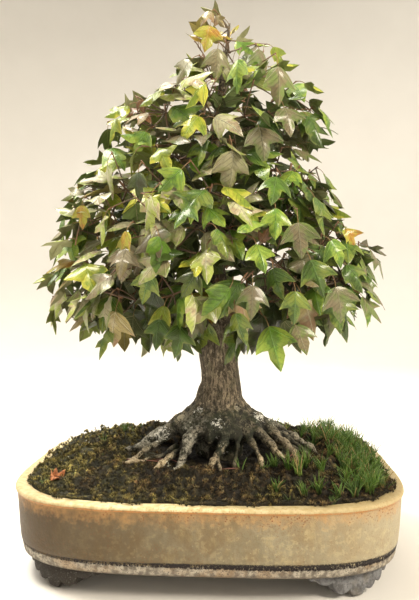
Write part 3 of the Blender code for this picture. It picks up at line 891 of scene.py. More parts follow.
def leaf_mould(fold, curl, twist, wave, spread, wings, dice):
    """One leaf of unit length, its foot at the origin: its corners, faces, plan and which faces are under.

    The wings are how far each side is folded, lifted and drawn out.
    """
    blade = bmesh.new()
    rows = len(LEAF_ROWS) - 1
    bmesh.ops.create_grid(blade, x_segments=LEAF_COLUMNS, y_segments=rows, size=1.0)
    bmesh.ops.recalc_face_normals(blade, faces=blade.faces)
    if blade.faces[0].normal.z < 0.0:
        bmesh.ops.reverse_faces(blade, faces=blade.faces)
    upper = set(blade.faces)
    copied = bmesh.ops.duplicate(blade, geom=blade.verts[:] + blade.edges[:] + blade.faces[:])
    below = {item for item in copied["geom"] if isinstance(item, bmesh.types.BMVert)}
    bmesh.ops.reverse_faces(blade, faces=[face for face in blade.faces if face not in upper])
    phase = dice.uniform(0.0, math.tau)
    plans = {}
    for vert in blade.verts:
        share, row = vert.co.x, round((vert.co.y + 1.0) / 2.0 * rows)
        middle, ahead, aside = LEAF_ROWS[row]
        reach = abs(share) ** 0.92
        along = middle + reach * (ahead - middle)
        fold_here, lift, lobe = wings[share > 0.0]
        across = math.copysign(reach * aside * lobe, share)
        inside = (1.0 - share * share) * (0 < row < rows)
        ripples = wave * math.sin(8.0 * along + phase) * share * share
        height = -fold * fold_here * rib_gap(along, across) - curl * along ** 2.4
        height += lift * across * across + twist * along * across + ripples
        height += LEAF_SHEET * inside * (-0.5 if vert in below else 0.5)
        plans[vert] = (along, across, 1.0 - inside)
        vert.co = (along, across * spread, height)
    rim = [vert for vert in blade.verts if plans[vert][2] == 1.0]
    bmesh.ops.remove_doubles(blade, verts=rim, dist=1e-5)
    blade.verts.index_update()
    corners = np.array([vert.co[:] for vert in blade.verts])
    plan = np.array([plans[vert] for vert in blade.verts])
    faces = [[vert.index for vert in face.verts] for face in blade.faces]
    under = [0 if face in upper else 1 for face in blade.faces]
    blade.free()
    return corners, faces, plan, under


dice = random.Random("moulds")
MOULDS = []
for _ in range(12):
    MOULDS.append(leaf_mould(
        fold=dice.choice((0.4, 0.55, 0.75, -0.15)),
        curl=dice.uniform(0.15, 0.46),
        twist=dice.uniform(-0.25, 0.25),
        wave=dice.uniform(0.01, 0.035),
        spread=dice.uniform(0.86, 1.12),
        wings=[(dice.uniform(0.5, 1.5), dice.uniform(-1.1, 0.7), dice.uniform(0.84, 1.06)) for _ in range(2)],
        dice=dice,
    ))
print("leaf mould:", len(MOULDS[0][0]), "corners,", len(MOULDS[0][1]), "faces, upper", MOULDS[0][3].count(0))

# %% [markdown]
# ## Leaf colours
#
# In early autumn the crown is a mix: lime, cream and silver on the left, partly their own pale colour and
# partly painted sunlight, mid green with a bronze and rose flush on the right, gold at the top and deep green
# inside, made near-black as painted shade, with a few leaves that are dry. Each kind is one finish with paler
# ribs, a lighter edge and soft blotches. The ribs follow the blade's own plan, kept as a UV map.

# %% Leaf finishes
# cream, silver and lime are partly painted sunlight for the crown's left, and deep is painted shade for its
# inside
# the blade, its flush towards the edge, and the flush in patches
LEAF_KINDS = {
    "lime": ((0.31, 0.4, 0.03), (0.54, 0.53, 0.06), (0.2, 0.285, 0.024)),
    "cream": ((0.64, 0.62, 0.37), (0.36, 0.43, 0.09), (0.46, 0.35, 0.21)),
    "green": ((0.086, 0.178, 0.016), (0.19, 0.24, 0.034), (0.06, 0.106, 0.013)),
    "fresh": ((0.136, 0.28, 0.022), (0.28, 0.38, 0.048), (0.092, 0.172, 0.017)),
    "deep": ((0.034, 0.062, 0.008), (0.08, 0.108, 0.014), (0.044, 0.046, 0.01)),
    "bronze": ((0.215, 0.195, 0.098), (0.14, 0.19, 0.045), (0.19, 0.15, 0.078)),
    "silver": ((0.41, 0.385, 0.21), (0.26, 0.31, 0.08), (0.32, 0.265, 0.14)),
    "gold": ((0.44, 0.28, 0.028), (0.38, 0.38, 0.045), (0.4, 0.19, 0.03)),
    "rose": ((0.4, 0.345, 0.2), (0.3, 0.245, 0.09), (0.33, 0.2, 0.105)),
    "dry": ((0.3, 0.15, 0.065), (0.19, 0.085, 0.032), (0.38, 0.24, 0.12)),
}


def blade_lines(finish):
    """Masks of the ribs and side veins, and how far a place is from a rib and along the blade."""
    across, along, _ = finish.parts(finish.node("ShaderNodeUVMap", {"uv_map": "blade"}))
    across = abs(across - 0.5)
    lobe = abs((along - 0.02) * RIB_WAY.y - across * RIB_WAY.x) + along.rise(0.55, 0.62)
    rib = across.least(lobe * 1.25)
    veins = finish.node("ShaderNodeMath", {"operation": "FRACT"}, [(along - across * 0.75) * 7.5])
    return rib.rise(0.02, 0.004), abs(veins - 0.5).rise(0.42, 0.5) * rib.rise(0.34, 0.02), rib, along


def tinted(colour, factor, more=0.0, most=1.0):
    """A colour made darker or lighter."""
    return [min(most, factor * part + more) for part in colour]


def leaf_finish(name, blade, edge, flush, under=False):
    """The upper or the lower face of one kind of leaf."""
    shine = {"Specular_IOR_Level": 0.25, "Coat_Weight": 0.0 if under else 0.38, "Coat_Roughness": 0.17}
    finish = Finish(name, 0.5, **shine)
    ribs, veins, rib, along = blade_lines(finish)
    rim, tint = finish.attributes("edge", "tint")
    cloud = finish.cloud(70.0, 4.0, 0.6)
    mottle = finish.cloud(330.0, 3.0, 0.6)
    if under:
        pale = [0.5 * c + 0.5 * p for c, p in zip(blade, (0.3, 0.33, 0.17))]
        colour = finish.coats(
            pale,
            (cloud.rise(0.4, 0.65) * 0.6, tinted(pale, 0.78)),
            (ribs * 0.7 + veins * 0.3, (0.46, 0.42, 0.22)),
        )
    else:
        turned = (cloud + rim * 0.2 + rib * 0.45 + along * 0.1 + (tint - 0.5) * 0.2).rise(0.56, 0.78)
        colour = finish.coats(
            blade,
            (turned, edge),
            ((cloud - along * 0.1).rise(0.46, 0.34) * 0.9, flush),
            (mottle.rise(0.5, 0.7) * 0.35, tinted(flush, 0.62)),
            (rim.rise(0.8, 1.0) * 0.45, tinted(edge, 1.25, 0.03, 0.7)),
            (ribs * 0.7 + veins * 0.3, tinted(blade, 1.3, 0.07, 0.8)),
        )
    freckles = finish.cloud(900.0, 2.0, 0.6).rise(0.66, 0.74)
    colour = finish.mix(tint, finish.mix(0.5, colour, (0.0, 0.0, 0.0)), colour)
    colour = finish.mix(freckles * 0.3, colour, (0.2, 0.12, 0.05))
    rough = 0.44 + mottle * 0.16 + (0.2 if under else 0.0)
    return finish.wear(colour, rough, mottle * 0.45 - veins * 0.55 - ribs * 0.7, 0.0011)


LEAF_FINISHES = {}
for kind, colours in LEAF_KINDS.items():
    above = leaf_finish(f"leaf_{kind}", *colours)
    LEAF_FINISHES[kind] = (above, leaf_finish(f"leaf_{kind}_under", *colours, under=True))
print("leaf kinds:", len(LEAF_KINDS))

# %% [markdown]
# ## Which leaf hangs where
#
# A spray's leaves are of one age, so the kind is drawn by the spray's place: how far it is to the
# left, how near the top and how deep inside the crown. On the left the pale kinds are partly painted
# sunlight, and deep inside the near-black kind is painted shade. The largest leaves in front are the tree's
# face, so their places, lengths and turns are given one by one. Grown leaves make room for them, and for
# a few windows through which the crown's dark inside shows.

# %% Shares of the kinds
# the left's many pale kinds are partly painted sunlight, and the inside's near-black deep kind is painted
# shade
SHARES = {
    "left": {"lime": 20, "cream": 26, "green": 15, "fresh": 17, "silver": 14, "gold": 3, "rose": 5},
    "right": {"green": 36, "fresh": 26, "bronze": 24, "silver": 6, "lime": 6, "rose": 2},
    "top": {"gold": 12, "lime": 22, "silver": 24, "bronze": 14, "fresh": 28},
    "tip": {"gold": 60, "bronze": 20, "silver": 20},
    "inside": {"deep": 72, "green": 26, "bronze": 2},
}


def depth_in_crown(point):
    """How far a point is inside the crown's outline, roughly."""
    middle, width, depth = crown_at(point.z)
    away = math.hypot((point.x - middle) / width, point.y / depth)
    return min((1.0 - away) * 0.5 * (width + depth), point.z - 0.16 + 0.25 * max(0.0, -point.y - 0.05))


def kind_at(point, dice):
    """The kind of a spray's leaves, by its place."""
    deep = depth_in_crown(point) - 0.02 * (point.z - 0.3) / 0.2
    if deep + dice.uniform(-0.012, 0.012) > 0.06:
        zone = "inside"
    elif point.z > 0.5:
        zone = "tip"
    elif point.z + dice.uniform(-0.012, 0.012) > 0.46:
        zone = "top"
    else:
        zone = "left" if point.x + dice.gauss(0.0, 0.035) < -0.012 else "right"
    kinds = SHARES[zone]
    return dice.choices(list(kinds), list(kinds.values()))[0]


print("zones:", ", ".join(SHARES))

# %% Leaves that show in front
# x, y and z of the middle and the length in mm, and the turn from hanging
SHOWN = {
    "gold": (
        (-1, -36, 497, 33, -4), (-116, -73, 320, 25, -10), (-73, -102, 290, 30, -10), (132, -66, 300, 26, 30),
    ),
    "bronze": (
        (52, -46, 468, 27, 10), (66, -64, 439, 35, 6), (51, -74, 388, 34, 4), (84, -89, 211, 31, 14),
        (40, -113, 242, 33, 8), (115, -86, 240, 37, 8), (165, -31, 280, 33, 22), (153, -55, 237, 30, 22),
        (81, -98, 295, 30, 5),
    ),
    "silver": (
        (8, -51, 468, 30, -12), (-26, -52, 460, 26, -50), (-130, -50, 345, 27, -60), (25, -88, 357, 34, 3),
        (-142, -52, 313, 26, -60), (-88, -99, 235, 31, -5),
    ),
    "fresh": (
        (37, -36, 490, 27, 60), (27, -70, 446, 30, -5), (-62, -70, 389, 28, -20), (-30, -93, 347, 30, -40),
        (60, -84, 340, 34, -20), (-20, -105, 316, 30, -30), (61, -98, 311, 31, 0), (-33, -113, 284, 33, 12),
        (16, -115, 242, 36, -30), (61, -89, 205, 40, 2), (117, -84, 287, 28, 20), (48, -111, 281, 29, 10),
    ),
    "lime": (
        (72, -4, 493, 24, 35), (101, -34, 447, 24, 40), (-14, -79, 400, 32, -25), (-11, -79, 427, 27, -60),
        (-53, -66, 432, 30, -60), (-86, -51, 421, 28, -30), (-94, -45, 406, 26, -15),
        (-70, -76, 368, 25, -35), (-38, -100, 325, 24, 60), (-157, -47, 267, 28, -75),
        (-160, -20, 222, 28, -10),
    ),
    "green": (
        (55, -72, 413, 34, 75), (103, -44, 406, 40, 12), (94, -65, 342, 33, 15), (105, -73, 319, 38, 16),
        (-95, -77, 206, 31, 2), (-41, -105, 217, 30, 0), (-51, -111, 253, 30, -15), (30, -108, 219, 33, 10),
        (60, -109, 259, 31, 0), (96, -97, 263, 38, 10), (134, -73, 267, 32, 15), (78, -103, 238, 31, -10),
        (-5, -85, 376, 30, -20), (18, -112, 294, 30, 30), (-20, -104, 210, 27, 8),
    ),
    "cream": (
        (20, -79, 402, 31, 70), (-90, -76, 350, 36, -20), (-52, -99, 319, 33, -35), (33, -101, 319, 39, 18),
        (2, -116, 274, 31, -6), (-93, -97, 256, 31, -40), (-118, -83, 238, 30, -25), (-4, -116, 235, 33, 10),
    ),
    "rose": (
        (-65, -64, 414, 24, -70), (-70, -105, 275, 32, 6), (-4, -24, 523, 17, -25), (10, -22, 519, 16, 40),
    ),
    # two near-black leaves in front: painted shade
    "deep": ((-60, -90, 343, 30, -5), (-11, -116, 257, 28, -20)),
    "dry": (
        (-72, -52, 421, 16, -60), (-62, -57, 424, 15, 20), (-80, -47, 413, 15, -30), (-57, -60, 415, 16, 75),
        (52, -90, 300, 14, 160),
    ),
}
SHOWN_ROOM = 0.015
# gaps where the crown's dark inside shows: x, z and radius in mm
WINDOWS = (
    (-5, 300, 19), (-24, 257, 13), (35, 275, 13), (-66, 244, 15), (-14, 374, 11), (25, 420, 11),
    (62, 248, 11),
)
WINDOW_DEPTH = -0.025


def shown_leaf(row, dice):
    """A leaf as it hangs in front: its blade faces out of the crown and a little up."""
    middle, length = Vector(row[:3]) * 0.001, row[3] * 0.001
    turn = math.radians(row[4] + dice.gauss(0.0, 6.0))
    length *= dice.uniform(0.84, 1.02)
    centre, width, depth = crown_at(middle.z)
    outward = Vector(((middle.x - centre) / width ** 2, middle.y / depth ** 2, 0.0)).normalized()
    midrib = Vector((math.sin(turn), 0.0, -math.cos(turn))) + outward * dice.uniform(-0.1, 0.8)
    midrib.normalize()
    face = square_to(outward * 0.8 - Vector((0.0, 0.15, 0.0)) + UP * 0.6 + jolt(dice, 0.55), midrib)
    foot = middle - midrib * length * 0.5
    return foot + root_from_foot(midrib, face, length), midrib, face, length, 0


def in_front(leaf, middles):
    """Whether a grown leaf would cover one of the leaves that show, or a gap."""
    middle = leaf[0] + leaf[1] * 0.9 * leaf[3]
    for x, z, radius in WINDOWS:
        if middle.y < WINDOW_DEPTH and math.hypot(1e3 * middle.x - x, 1e3 * middle.z - z) < radius:
            return True
    return any(
        math.hypot(middle.x - shown.x, middle.z - shown.z) < SHOWN_ROOM and middle.y < shown.y + 0.007
        for shown in middles
    )


dice = random.Random("kinds")
dealt = {kind: [] for kind in LEAF_KINDS}
shown_middles = [Vector(row[:3]) * 0.001 for rows in SHOWN.values() for row in rows]
for kind, rows in SHOWN.items():
    dealt[kind] = [shown_leaf(row, dice) for row in rows]
SHOWN_LEAVES = [leaf for leaves in dealt.values() for leaf in leaves]
KEPT_LEAVES = [leaf for mass in range(len(MASSES)) for leaf in GROWN[mass][1] + FINE[mass][1]]
KEPT_LEAVES = [leaf for leaf in KEPT_LEAVES if not in_front(leaf, shown_middles)]
for leaf in KEPT_LEAVES:
    middle = leaf[0] + leaf[1] * 0.6 * leaf[3]
    dealt[kind_at(middle, random.Random(f"{leaf[0].x:.2f}{leaf[0].y:.2f}{leaf[0].z:.2f}"))].append(leaf)
print({kind: len(leaves) for kind, leaves in dealt.items()})

# %% [markdown]
# ## Joining the leaves
#
# Each leaf gets its own mould, tint, roll and pitch, and all leaves of a kind are joined into one
# mesh, because a thousand objects would be slow. The edge between a blade's two faces is marked
# sharp, and no leaf leaves the box that the solids fill.

# %% Joining the leaves
LEAF_LOW = np.array(SOLIDS_BOX[0][:]) + 0.0003
LEAF_HIGH = np.array(SOLIDS_BOX[1][:]) - 0.0003


def leaves_piece(kind, leaves, dice):
    """All leaves of one kind as one mesh, with their plan as a UV map and a tint of their own."""
    corners, faces, unders, plans, tints = [], [], [], [], []
    count = 0
    for root, midrib, face, length, _ in leaves:
        mould, mould_faces, plan, under = dice.choice(MOULDS)
        foot = root - root_from_foot(midrib, face, length)
        roll = Quaternion(midrib, dice.gauss(0.0, 0.32))
        pitch = Quaternion(face.cross(midrib), dice.gauss(0.0, 0.12))
        midrib, face = pitch @ midrib, pitch @ (roll @ face)
        axes = np.array([midrib[:], face.cross(midrib)[:], face[:]])
        placed = np.array(foot[:]) + length * mould @ axes
        too_low, too_high = LEAF_LOW - placed.min(axis=0), LEAF_HIGH - placed.max(axis=0)
        corners.append(placed + (np.maximum(too_low, 0.0) + np.minimum(too_high, 0.0)))
        faces += [[count + k for k in corner] for corner in mould_faces]
        unders += under
        plans.append(plan)
        tints.append(np.full(len(mould), dice.random()))
        count += len(mould)
    plan = np.concatenate(plans)
    layers = {"edge": plan[:, 2], "tint": np.concatenate(tints)}
    data = mesh_from(f"leaves_{kind}", np.concatenate(corners), faces, **layers)
    data.polygons.foreach_set("material_index", unders)
    ends = np.zeros(2 * len(data.edges), dtype=np.int32)
    data.edges.foreach_get("vertices", ends)
    brink = (plan[ends, 2] > 0.999).reshape(-1, 2).all(axis=1)
    data.attributes.new("sharp_edge", "BOOLEAN", "EDGE").data.foreach_set("value", brink)
    loops = np.zeros(len(data.loops), dtype=np.int32)
    data.loops.foreach_get("vertex_index", loops)
    spread = np.column_stack((plan[loops, 1] + 0.5, plan[loops, 0]))
    data.uv_layers.new(name="blade").data.foreach_set("uv", spread.ravel())
    return data


FOLIAGE_NODES = [f"foliage_{mass[0]}" for mass in MASSES]
for kind, leaves in dealt.items():
    data = leaves_piece(kind, leaves, dice)
    piece_from(data, f"leaves_{kind}", LEAF_FINISHES[kind], FOLIAGE_NODES)

# %% [markdown]
# ## Stalks and twigs
#
# Each leaf hangs from a thin reddish stalk longer than half its blade, and the stalks sit in pairs
# on thin twigs. They are tapering tubes with a few sides. There are well over a thousand, so all
# tubes of a kind are laid into one mesh, with a value along each for its colour.

# %% Many tubes in one mesh
def joined_tubes(name, courses, sides):
    """One mesh from thin limbs: each course is its points, its radii and a value at each point."""
    corners, faces, values = [], [], []
    for points, radii, marks in courses:
        low = len(corners)
        for ring, mark in zip(tube_rings(points, radii, sides), marks):
            corners += ring
            values += [mark] * sides
        last = len(corners) - sides
        faces += tube_walls(low, last, sides)
        faces.append(tuple(range(low + sides - 1, low - 1, -1)))
        faces.append(tuple(range(last, last + sides)))
    return mesh_from(name, corners, faces, along=values)


def stalk_course(leaf):
    """A leaf's stalk, from the twig up and over to the blade's foot."""
    root, midrib, face, length, _ = leaf
    foot = root + (midrib * 0.42 + face * 0.13) * length
    knee = root + (midrib * 0.15 + face * 0.17) * length
    points = [root.lerp(knee, s).lerp(knee.lerp(foot, s), s) for s in even(4)]
    return points, (0.00054, 0.00042, 0.00036, 0.00036, 0.00044), even(4)


def twig_course(twig, dice):
    """A twig, bowed aside on its way and thick at its knots."""
    start, seat, first, radius = twig
    run = seat - start
    bow = run.orthogonal().normalized() * run.length * dice.uniform(-0.05, 0.05)
    start, end = start - run.normalized() * first, seat + run.normalized() * TWIG_OVERRUN
    points = [start.lerp(end, share) + bow * (4.0 * share * (1.0 - share)) for share in even(4)]
    knots = (1.0, 0.95, 0.86, 0.84, 1.1)
    return points, [(first + (radius - first) * s) * knot for s, knot in zip(even(4), knots)], even(4)


def twig_to(root):
    """A thin twig to a leaf's stalk from the nearest that stands."""
    nodes = [node for mass in GROWN for node in mass[2]]
    start, _ = min(nodes, key=lambda node: (node[0] - root).length + 0.3 * abs(node[0].y))
    return start, root, 0.0009, 0.0006


print("tube helpers ready")

# %% Twigs and stalks
def twig_finish(name, old, young):
    """Thin wood that changes from its old end to its young one."""
    finish = Finish(name, 0.6)
    along = finish.attributes("along")[0]
    patches = finish.cloud(260.0, 3.0)
    colour = finish.coats(
        old,
        (along.rise(0.15, 1.0), young),
        (patches.rise(0.45, 0.7) * 0.5, tinted(old, 0.55)),
    )
    return finish.wear(colour, patches * 0.3 + 0.42, finish.cloud(900.0, 2.0), 0.0003)


TWIG_FINISH = twig_finish("young_wood", (0.12, 0.085, 0.052), (0.19, 0.095, 0.045))
STALK_FINISH = twig_finish("leaf_stalk", (0.19, 0.085, 0.034), (0.25, 0.17, 0.055))
dice = random.Random("twigs")
main_twigs = [twig_course(twig, dice) for mass in GROWN for twig in mass[0]]
thin_twigs = [twig_course(twig, dice) for mass in FINE for twig in mass[0]]
thin_twigs += [twig_course(twig_to(leaf[0]), dice) for leaf in SHOWN_LEAVES]
stalks = [stalk_course(leaf) for leaf in KEPT_LEAVES + SHOWN_LEAVES]
piece_from(joined_tubes("twigs", main_twigs, 7), "twigs", [TWIG_FINISH], FOLIAGE_NODES)
piece_from(joined_tubes("twigs_fine", thin_twigs, 5), "twigs_fine", [TWIG_FINISH], FOLIAGE_NODES)
piece_from(joined_tubes("leaf_stalks", stalks, 4), "leaf_stalks", [STALK_FINISH], FOLIAGE_NODES)

# %% [markdown]
# ## Trunk, roots and boughs
#
# The trunk widens into a skirt where its roots have grown together, and from it they lie on the soil
# like fingers, with hollows between them that are dark partly from their depth and partly from painted shade.
# The roots in front follow the picture one by one; the far ones are spaced by a rule, and each forks. Loose
# limbs would show seams where they meet, so we sweep each one, then melt them together with a voxel remesh,
# and press the bark's furrows and scars into the one skin.

# %% The courses of the roots
# roots that show in front, in millimetres: x, y, z and radius of each station; then how silvery and how tan
FRONT_ROOTS = (
    (((-8, 0, 130, 10), (-33, -7, 116, 9.0), (-54, -12, 106, 6.0), (-71, -14, 96, 3.6),
      (-86, -16, 91, 2.4), (-102, -20, 86, 1.4)), 1.0, 0.0),
    (((-36, -13, 112, 5.0), (-49, -21, 103, 3.9), (-62, -29, 96, 2.6), (-72, -36, 91, 1.7),
      (-84, -43, 85, 1.0)), 0.5, 0.7),
    (((-8, -14, 118, 9), (-17, -27, 110, 7.2), (-22, -40, 100, 5.6), (-25, -48, 93, 4.2),
      (-29, -60, 87, 2.6), (-34, -70, 82, 1.6)), 0.8, 0.1),
    (((-20, -30, 104, 3.6), (-31, -38, 97, 2.6), (-37, -47, 93, 3.0), (-42, -60, 92, 2.9),
      (-47.5, -75, 90, 2.4)), 0.0, 1.0),
    (((-30, -22, 99, 3.0), (-44, -31, 93, 2.2), (-58, -38, 90, 1.8), (-66, -47, 91.5, 1.6),
      (-80, -57, 90.5, 1.1)), 0.2, 1.0),
    (((17, -24, 117, 7.5), (15, -36, 109, 4.8), (10, -47, 99, 3.6), (4, -55, 92, 2.7),
      (1, -64, 85, 1.6)), 0.1, 0.8),
    (((9, -47, 100, 3.0), (9, -53, 92, 2.4), (14, -61, 83, 1.5)), 0.0, 0.6),
    (((28, -22, 118, 6.5), (28, -34, 110, 3.4), (27, -41, 98, 1.8), (24, -48, 83, 1.3)), 0.0, 0.1),
    (((35, -22, 118, 6.0), (41, -35, 108, 3.0), (46, -46, 99, 2.4), (51, -57, 91, 2.2),
      (54, -68, 84, 1.4)), 0.0, 1.0),
    (((40, -14, 121, 8.0), (53, -28, 110, 4.6), (63, -38, 101, 3.4), (71, -48, 94, 2.6),
      (80, -60, 85, 1.5)), 0.0, 0.9),
    (((30, 0, 130, 9), (53, -9, 118, 7.2), (68, -19, 107, 4.2), (79, -29, 98, 2.8),
      (90, -41, 86, 1.5)), 0.1, 0.5),
    (((34, 6, 128, 8.0), (62, 3, 114, 5.6), (84, -2, 104, 3.8), (99, -9, 97, 2.6),
      (112, -19, 86, 1.4)), 0.4, 0.2),
    (((70, -10, 110, 4.4), (82, -16, 103, 3.2), (92, -23, 96, 2.4), (102, -32, 86, 1.4)), 0.1, 0.3),
    (((-12, 8, 124, 8), (-42, 16, 109, 5.4), (-60, 23, 98, 3.6), (-84, 32, 86, 1.8)), 0.4, 0.2),
)
# bearing and reach of the far roots
BACK_ROOTS = ((20, 0.088), (41, 0.084), (64, 0.078), (88, 0.074), (112, 0.078), (136, 0.086), (156, 0.09))
ROOT_START = 0.054
ROOT_RADIUS = 0.0112
ROOT_TIP = 0.0024
ROOT_FIRST = 0.01
ROOT_STATIONS = 14
# the skirt where the roots have grown together: height, and radius of its ring
SKIRT = (
    (0.156, 0.02), (0.147, 0.0225), (0.139, 0.0265), (0.131, 0.034), (0.124, 0.04), (0.117, 0.045),
    (0.111, 0.046), (0.107, 0.041), (0.102, 0.03), (0.094, 0.024), (0.082, 0.022),
)
SKIRT_SIDES = 64
SKIRT_DEPTH = 0.78


def as_course(points, radii, steps):
    """The same course with more stations, rounded at its corners."""
    fine_points, fine_radii = [], []
    last = len(points) - 1
    for k in range(steps + 1):
        place = k / steps * last
        low = min(int(place), last - 1)
        share = place - low
        before, after = points[max(low - 1, 0)], points[min(low + 2, last)]
        start, end = points[low], points[low + 1]
        pull = 0.5 * share * (1.0 - share)
        point = start.lerp(end, share)
        if low:
            point += ((end - before) - (end - start) * 2.0) * (0.25 * pull * (1.0 - share))
        if low < last - 1:
            point += ((start - after) + (end - start) * 2.0) * (0.25 * pull * share)
        fine_points.append(point)
        fine_radii.append(radii[low] + share * (radii[low + 1] - radii[low]))
    return fine_points, fine_radii


def root_point(bearing, reach, share):
    """A far root's axis and radius, from inside the trunk down its flank and out on the soil."""
    turn = math.radians(bearing) + 0.4 * share * (1.0 - share) * math.sin(bearing)
    out = ROOT_FIRST + share * (reach - ROOT_FIRST)
    radius = 0.78 * (ROOT_RADIUS + (ROOT_TIP - ROOT_RADIUS) * share ** 0.8)
    height = GROUND_Z + (1.0 - share) ** 1.3 * ROOT_START - 0.006 * share
    return Vector((TREE_X + out * math.cos(turn), out * math.sin(turn), height)), radius


def root_courses():
    """Every root with its knots and bends, and how silvery and how tan it is."""
    bends = random.Random("root bends")
    plain = []
    for stations, silver, tan in FRONT_ROOTS:
        points = [Vector(row[:3]) * 0.001 for row in stations]
        plain.append((*as_course(points, [row[3] * 0.001 for row in stations], ROOT_STATIONS), silver, tan))
    for bearing, reach in BACK_ROOTS:
        rows = [root_point(bearing, reach, k / ROOT_STATIONS) for k in range(ROOT_STATIONS + 1)]
        points, radii = map(list, zip(*rows))
        plain.append((points, radii, bends.random(), bends.random() * 0.7))
        fork = rows[7:]
        aside = UP.cross(fork[-1][0] - fork[0][0]).normalized() * bends.choice((-0.018, 0.018))
        points = [row[0] + aside * (k / 7) ** 1.3 for k, row in enumerate(fork)]
        plain.append((points, [row[1] * 0.7 for row in fork], 0.2, bends.random()))
    courses = []
    for points, radii, silver, tan in plain:
        phase = bends.uniform(0.0, 90.0)
        for k, point in enumerate(points):
            wander = noise.noise_vector(Vector((phase, 0.55 * k, 0.0)))
            points[k] = point + wander * 0.0022 * min(1.0, k / 4)
            radii[k] *= 1.0 + 0.24 * noise.noise(Vector((phase, 0.95 * k, 1.0)))
        courses.append((points, radii, silver, tan))
    return courses


def skirt_rings():
    """Rings of the skirt round the trunk's foot, ragged where the roots leave it."""
    rings = []
    for row, (height, radius) in enumerate(SKIRT):
        ring = []
        for k in range(SKIRT_SIDES):
            turn = math.tau * k / SKIRT_SIDES
            way = Vector((math.cos(turn), SKIRT_DEPTH * math.sin(turn), 0.0))
            ragged = noise.fractal(Vector((way.x * 3.5, way.y * 3.5, 0.5)), 0.8, 2.0, 3) * min(1.0, row / 5)
            centre = Vector((TREE_X + 0.0005, 0.0, height - 0.006 * ragged * (row > 3)))
            ring.append(centre + way * radius * (1.0 + 0.16 * ragged))
        rings.append(ring)
    return rings


ROOT_COURSES = root_courses()
print("roots:", len(ROOT_COURSES))

# %% Melting the limbs into one skin
BARK_VOXEL = 0.00125


def melted(limbs, voxel):
    """One closed skin round all the limbs."""
    shape = bmesh.new()
    for rings in limbs:
        loose = mesh_of(swept(rings), "loose")
        shape.from_mesh(loose)
        bpy.data.meshes.remove(loose)
    carrier = put("melt", mesh_of(shape, "melt"))
    remesh = carrier.modifiers.new("remesh", "REMESH")
    remesh.mode = "VOXEL"
    remesh.voxel_size = voxel
    ready = carrier.evaluated_get(bpy.context.evaluated_depsgraph_get())
    skin = bpy.data.meshes.new_from_object(ready)
    bpy.data.objects.remove(carrier)
    return skin


def limb_rings():
    """Rings of the trunk above its foot, the skirt, every root and every bough."""
    points, radii = as_course(*trunk_line(), 70)
    above = [(p, min(r, 0.024)) for p, r in zip(points, radii) if p.z > GROUND_Z + 0.03]
    side = Vector((0.9, 0.3, 0.2))
    limbs = [tube_rings(*zip(*above), 28, side), skirt_rings()]
    limbs += [tube_rings(*course[:2], 12, side) for course in ROOT_COURSES]
    limbs += [tube_rings(*as_course(*bough_line(index), 14), 14, side) for index in BOUGH_MASSES]
    return limbs


bark_skin = melted(limb_rings(), BARK_VOXEL)
print("bark:", len(bark_skin.vertices), "corners")

# %% Furrows, lumps and scars
# place and radius
SCARS = (
    (Vector((-0.0295, -0.0115, 0.124)), 0.0078),
    (Vector((0.029, -0.018, 0.137)), 0.005),
    (Vector((0.014, 0.024, 0.15)), 0.007),
    (Vector((-0.014, 0.016, 0.192)), 0.0055),
)
GNARL_TOP = 0.15


def bark_relief(point):
    """How far the bark stands out at a place, and how deep in a hollow it is."""
    gnarled = held((GNARL_TOP - point.z) / 0.045)
    limb = min(1.0, math.hypot(point.x - TREE_X, point.y) / 0.03) if point.z > 0.19 else 0.0
    furrow = noise.fractal(Vector((point.x * 210.0, point.y * 210.0, point.z * 34.0)), 0.9, 2.1, 3)
    lump = noise.fractal(point * 85.0, 0.8, 2.0, 3)
    grain = noise.fractal(point * 420.0, 0.7, 2.0, 2)
    wart = noise.fractal(point * 230.0, 0.8, 2.0, 2)
    rise = 0.00055 * furrow * (1.0 - 0.6 * gnarled) * (1.0 - 0.6 * limb)
    rise += (0.0016 * lump + 0.0011 * wart) * gnarled + 0.00022 * lump + 0.00018 * grain
    for centre, radius in SCARS:
        away = (point - centre).length / radius
        if away < 1.6:
            ring = math.exp(-((away - 1.0) / 0.22) ** 2)
            rise += 0.0011 * ring - (0.0009 if away < 0.85 else 0.0)
    return rise, furrow * (1.0 - gnarled) + lump * gnarled


# the marks at every corner: how far the bark stands out, how deep it lies in a sharp hollow and how closed in
# it is, the three that the finish darkens as painted shade, then how silvery and how tan it is
BARK_MARKS = ("hollow", "crevice_shade", "shade", "silver", "tan")
SHADE_TOP = 0.15
SHADE_REACH = 0.016


def closed_in(skin, place, normal):
    """0 in the open to 1 deep in a hollow: how much bark stands close round a place."""
    side = normal.orthogonal().normalized()
    across = normal.cross(side)
    start = place + normal * 0.0004
    met = 0.0
    for k in range(6):
        turn = math.tau * k / 6
        way = normal * 0.8 + side * math.cos(turn) + across * math.sin(turn)
        away = skin.ray_cast(start, way, SHADE_REACH)[3]
        met += 1.0 - away / SHADE_REACH if away is not None else 0.0
    return met / 6


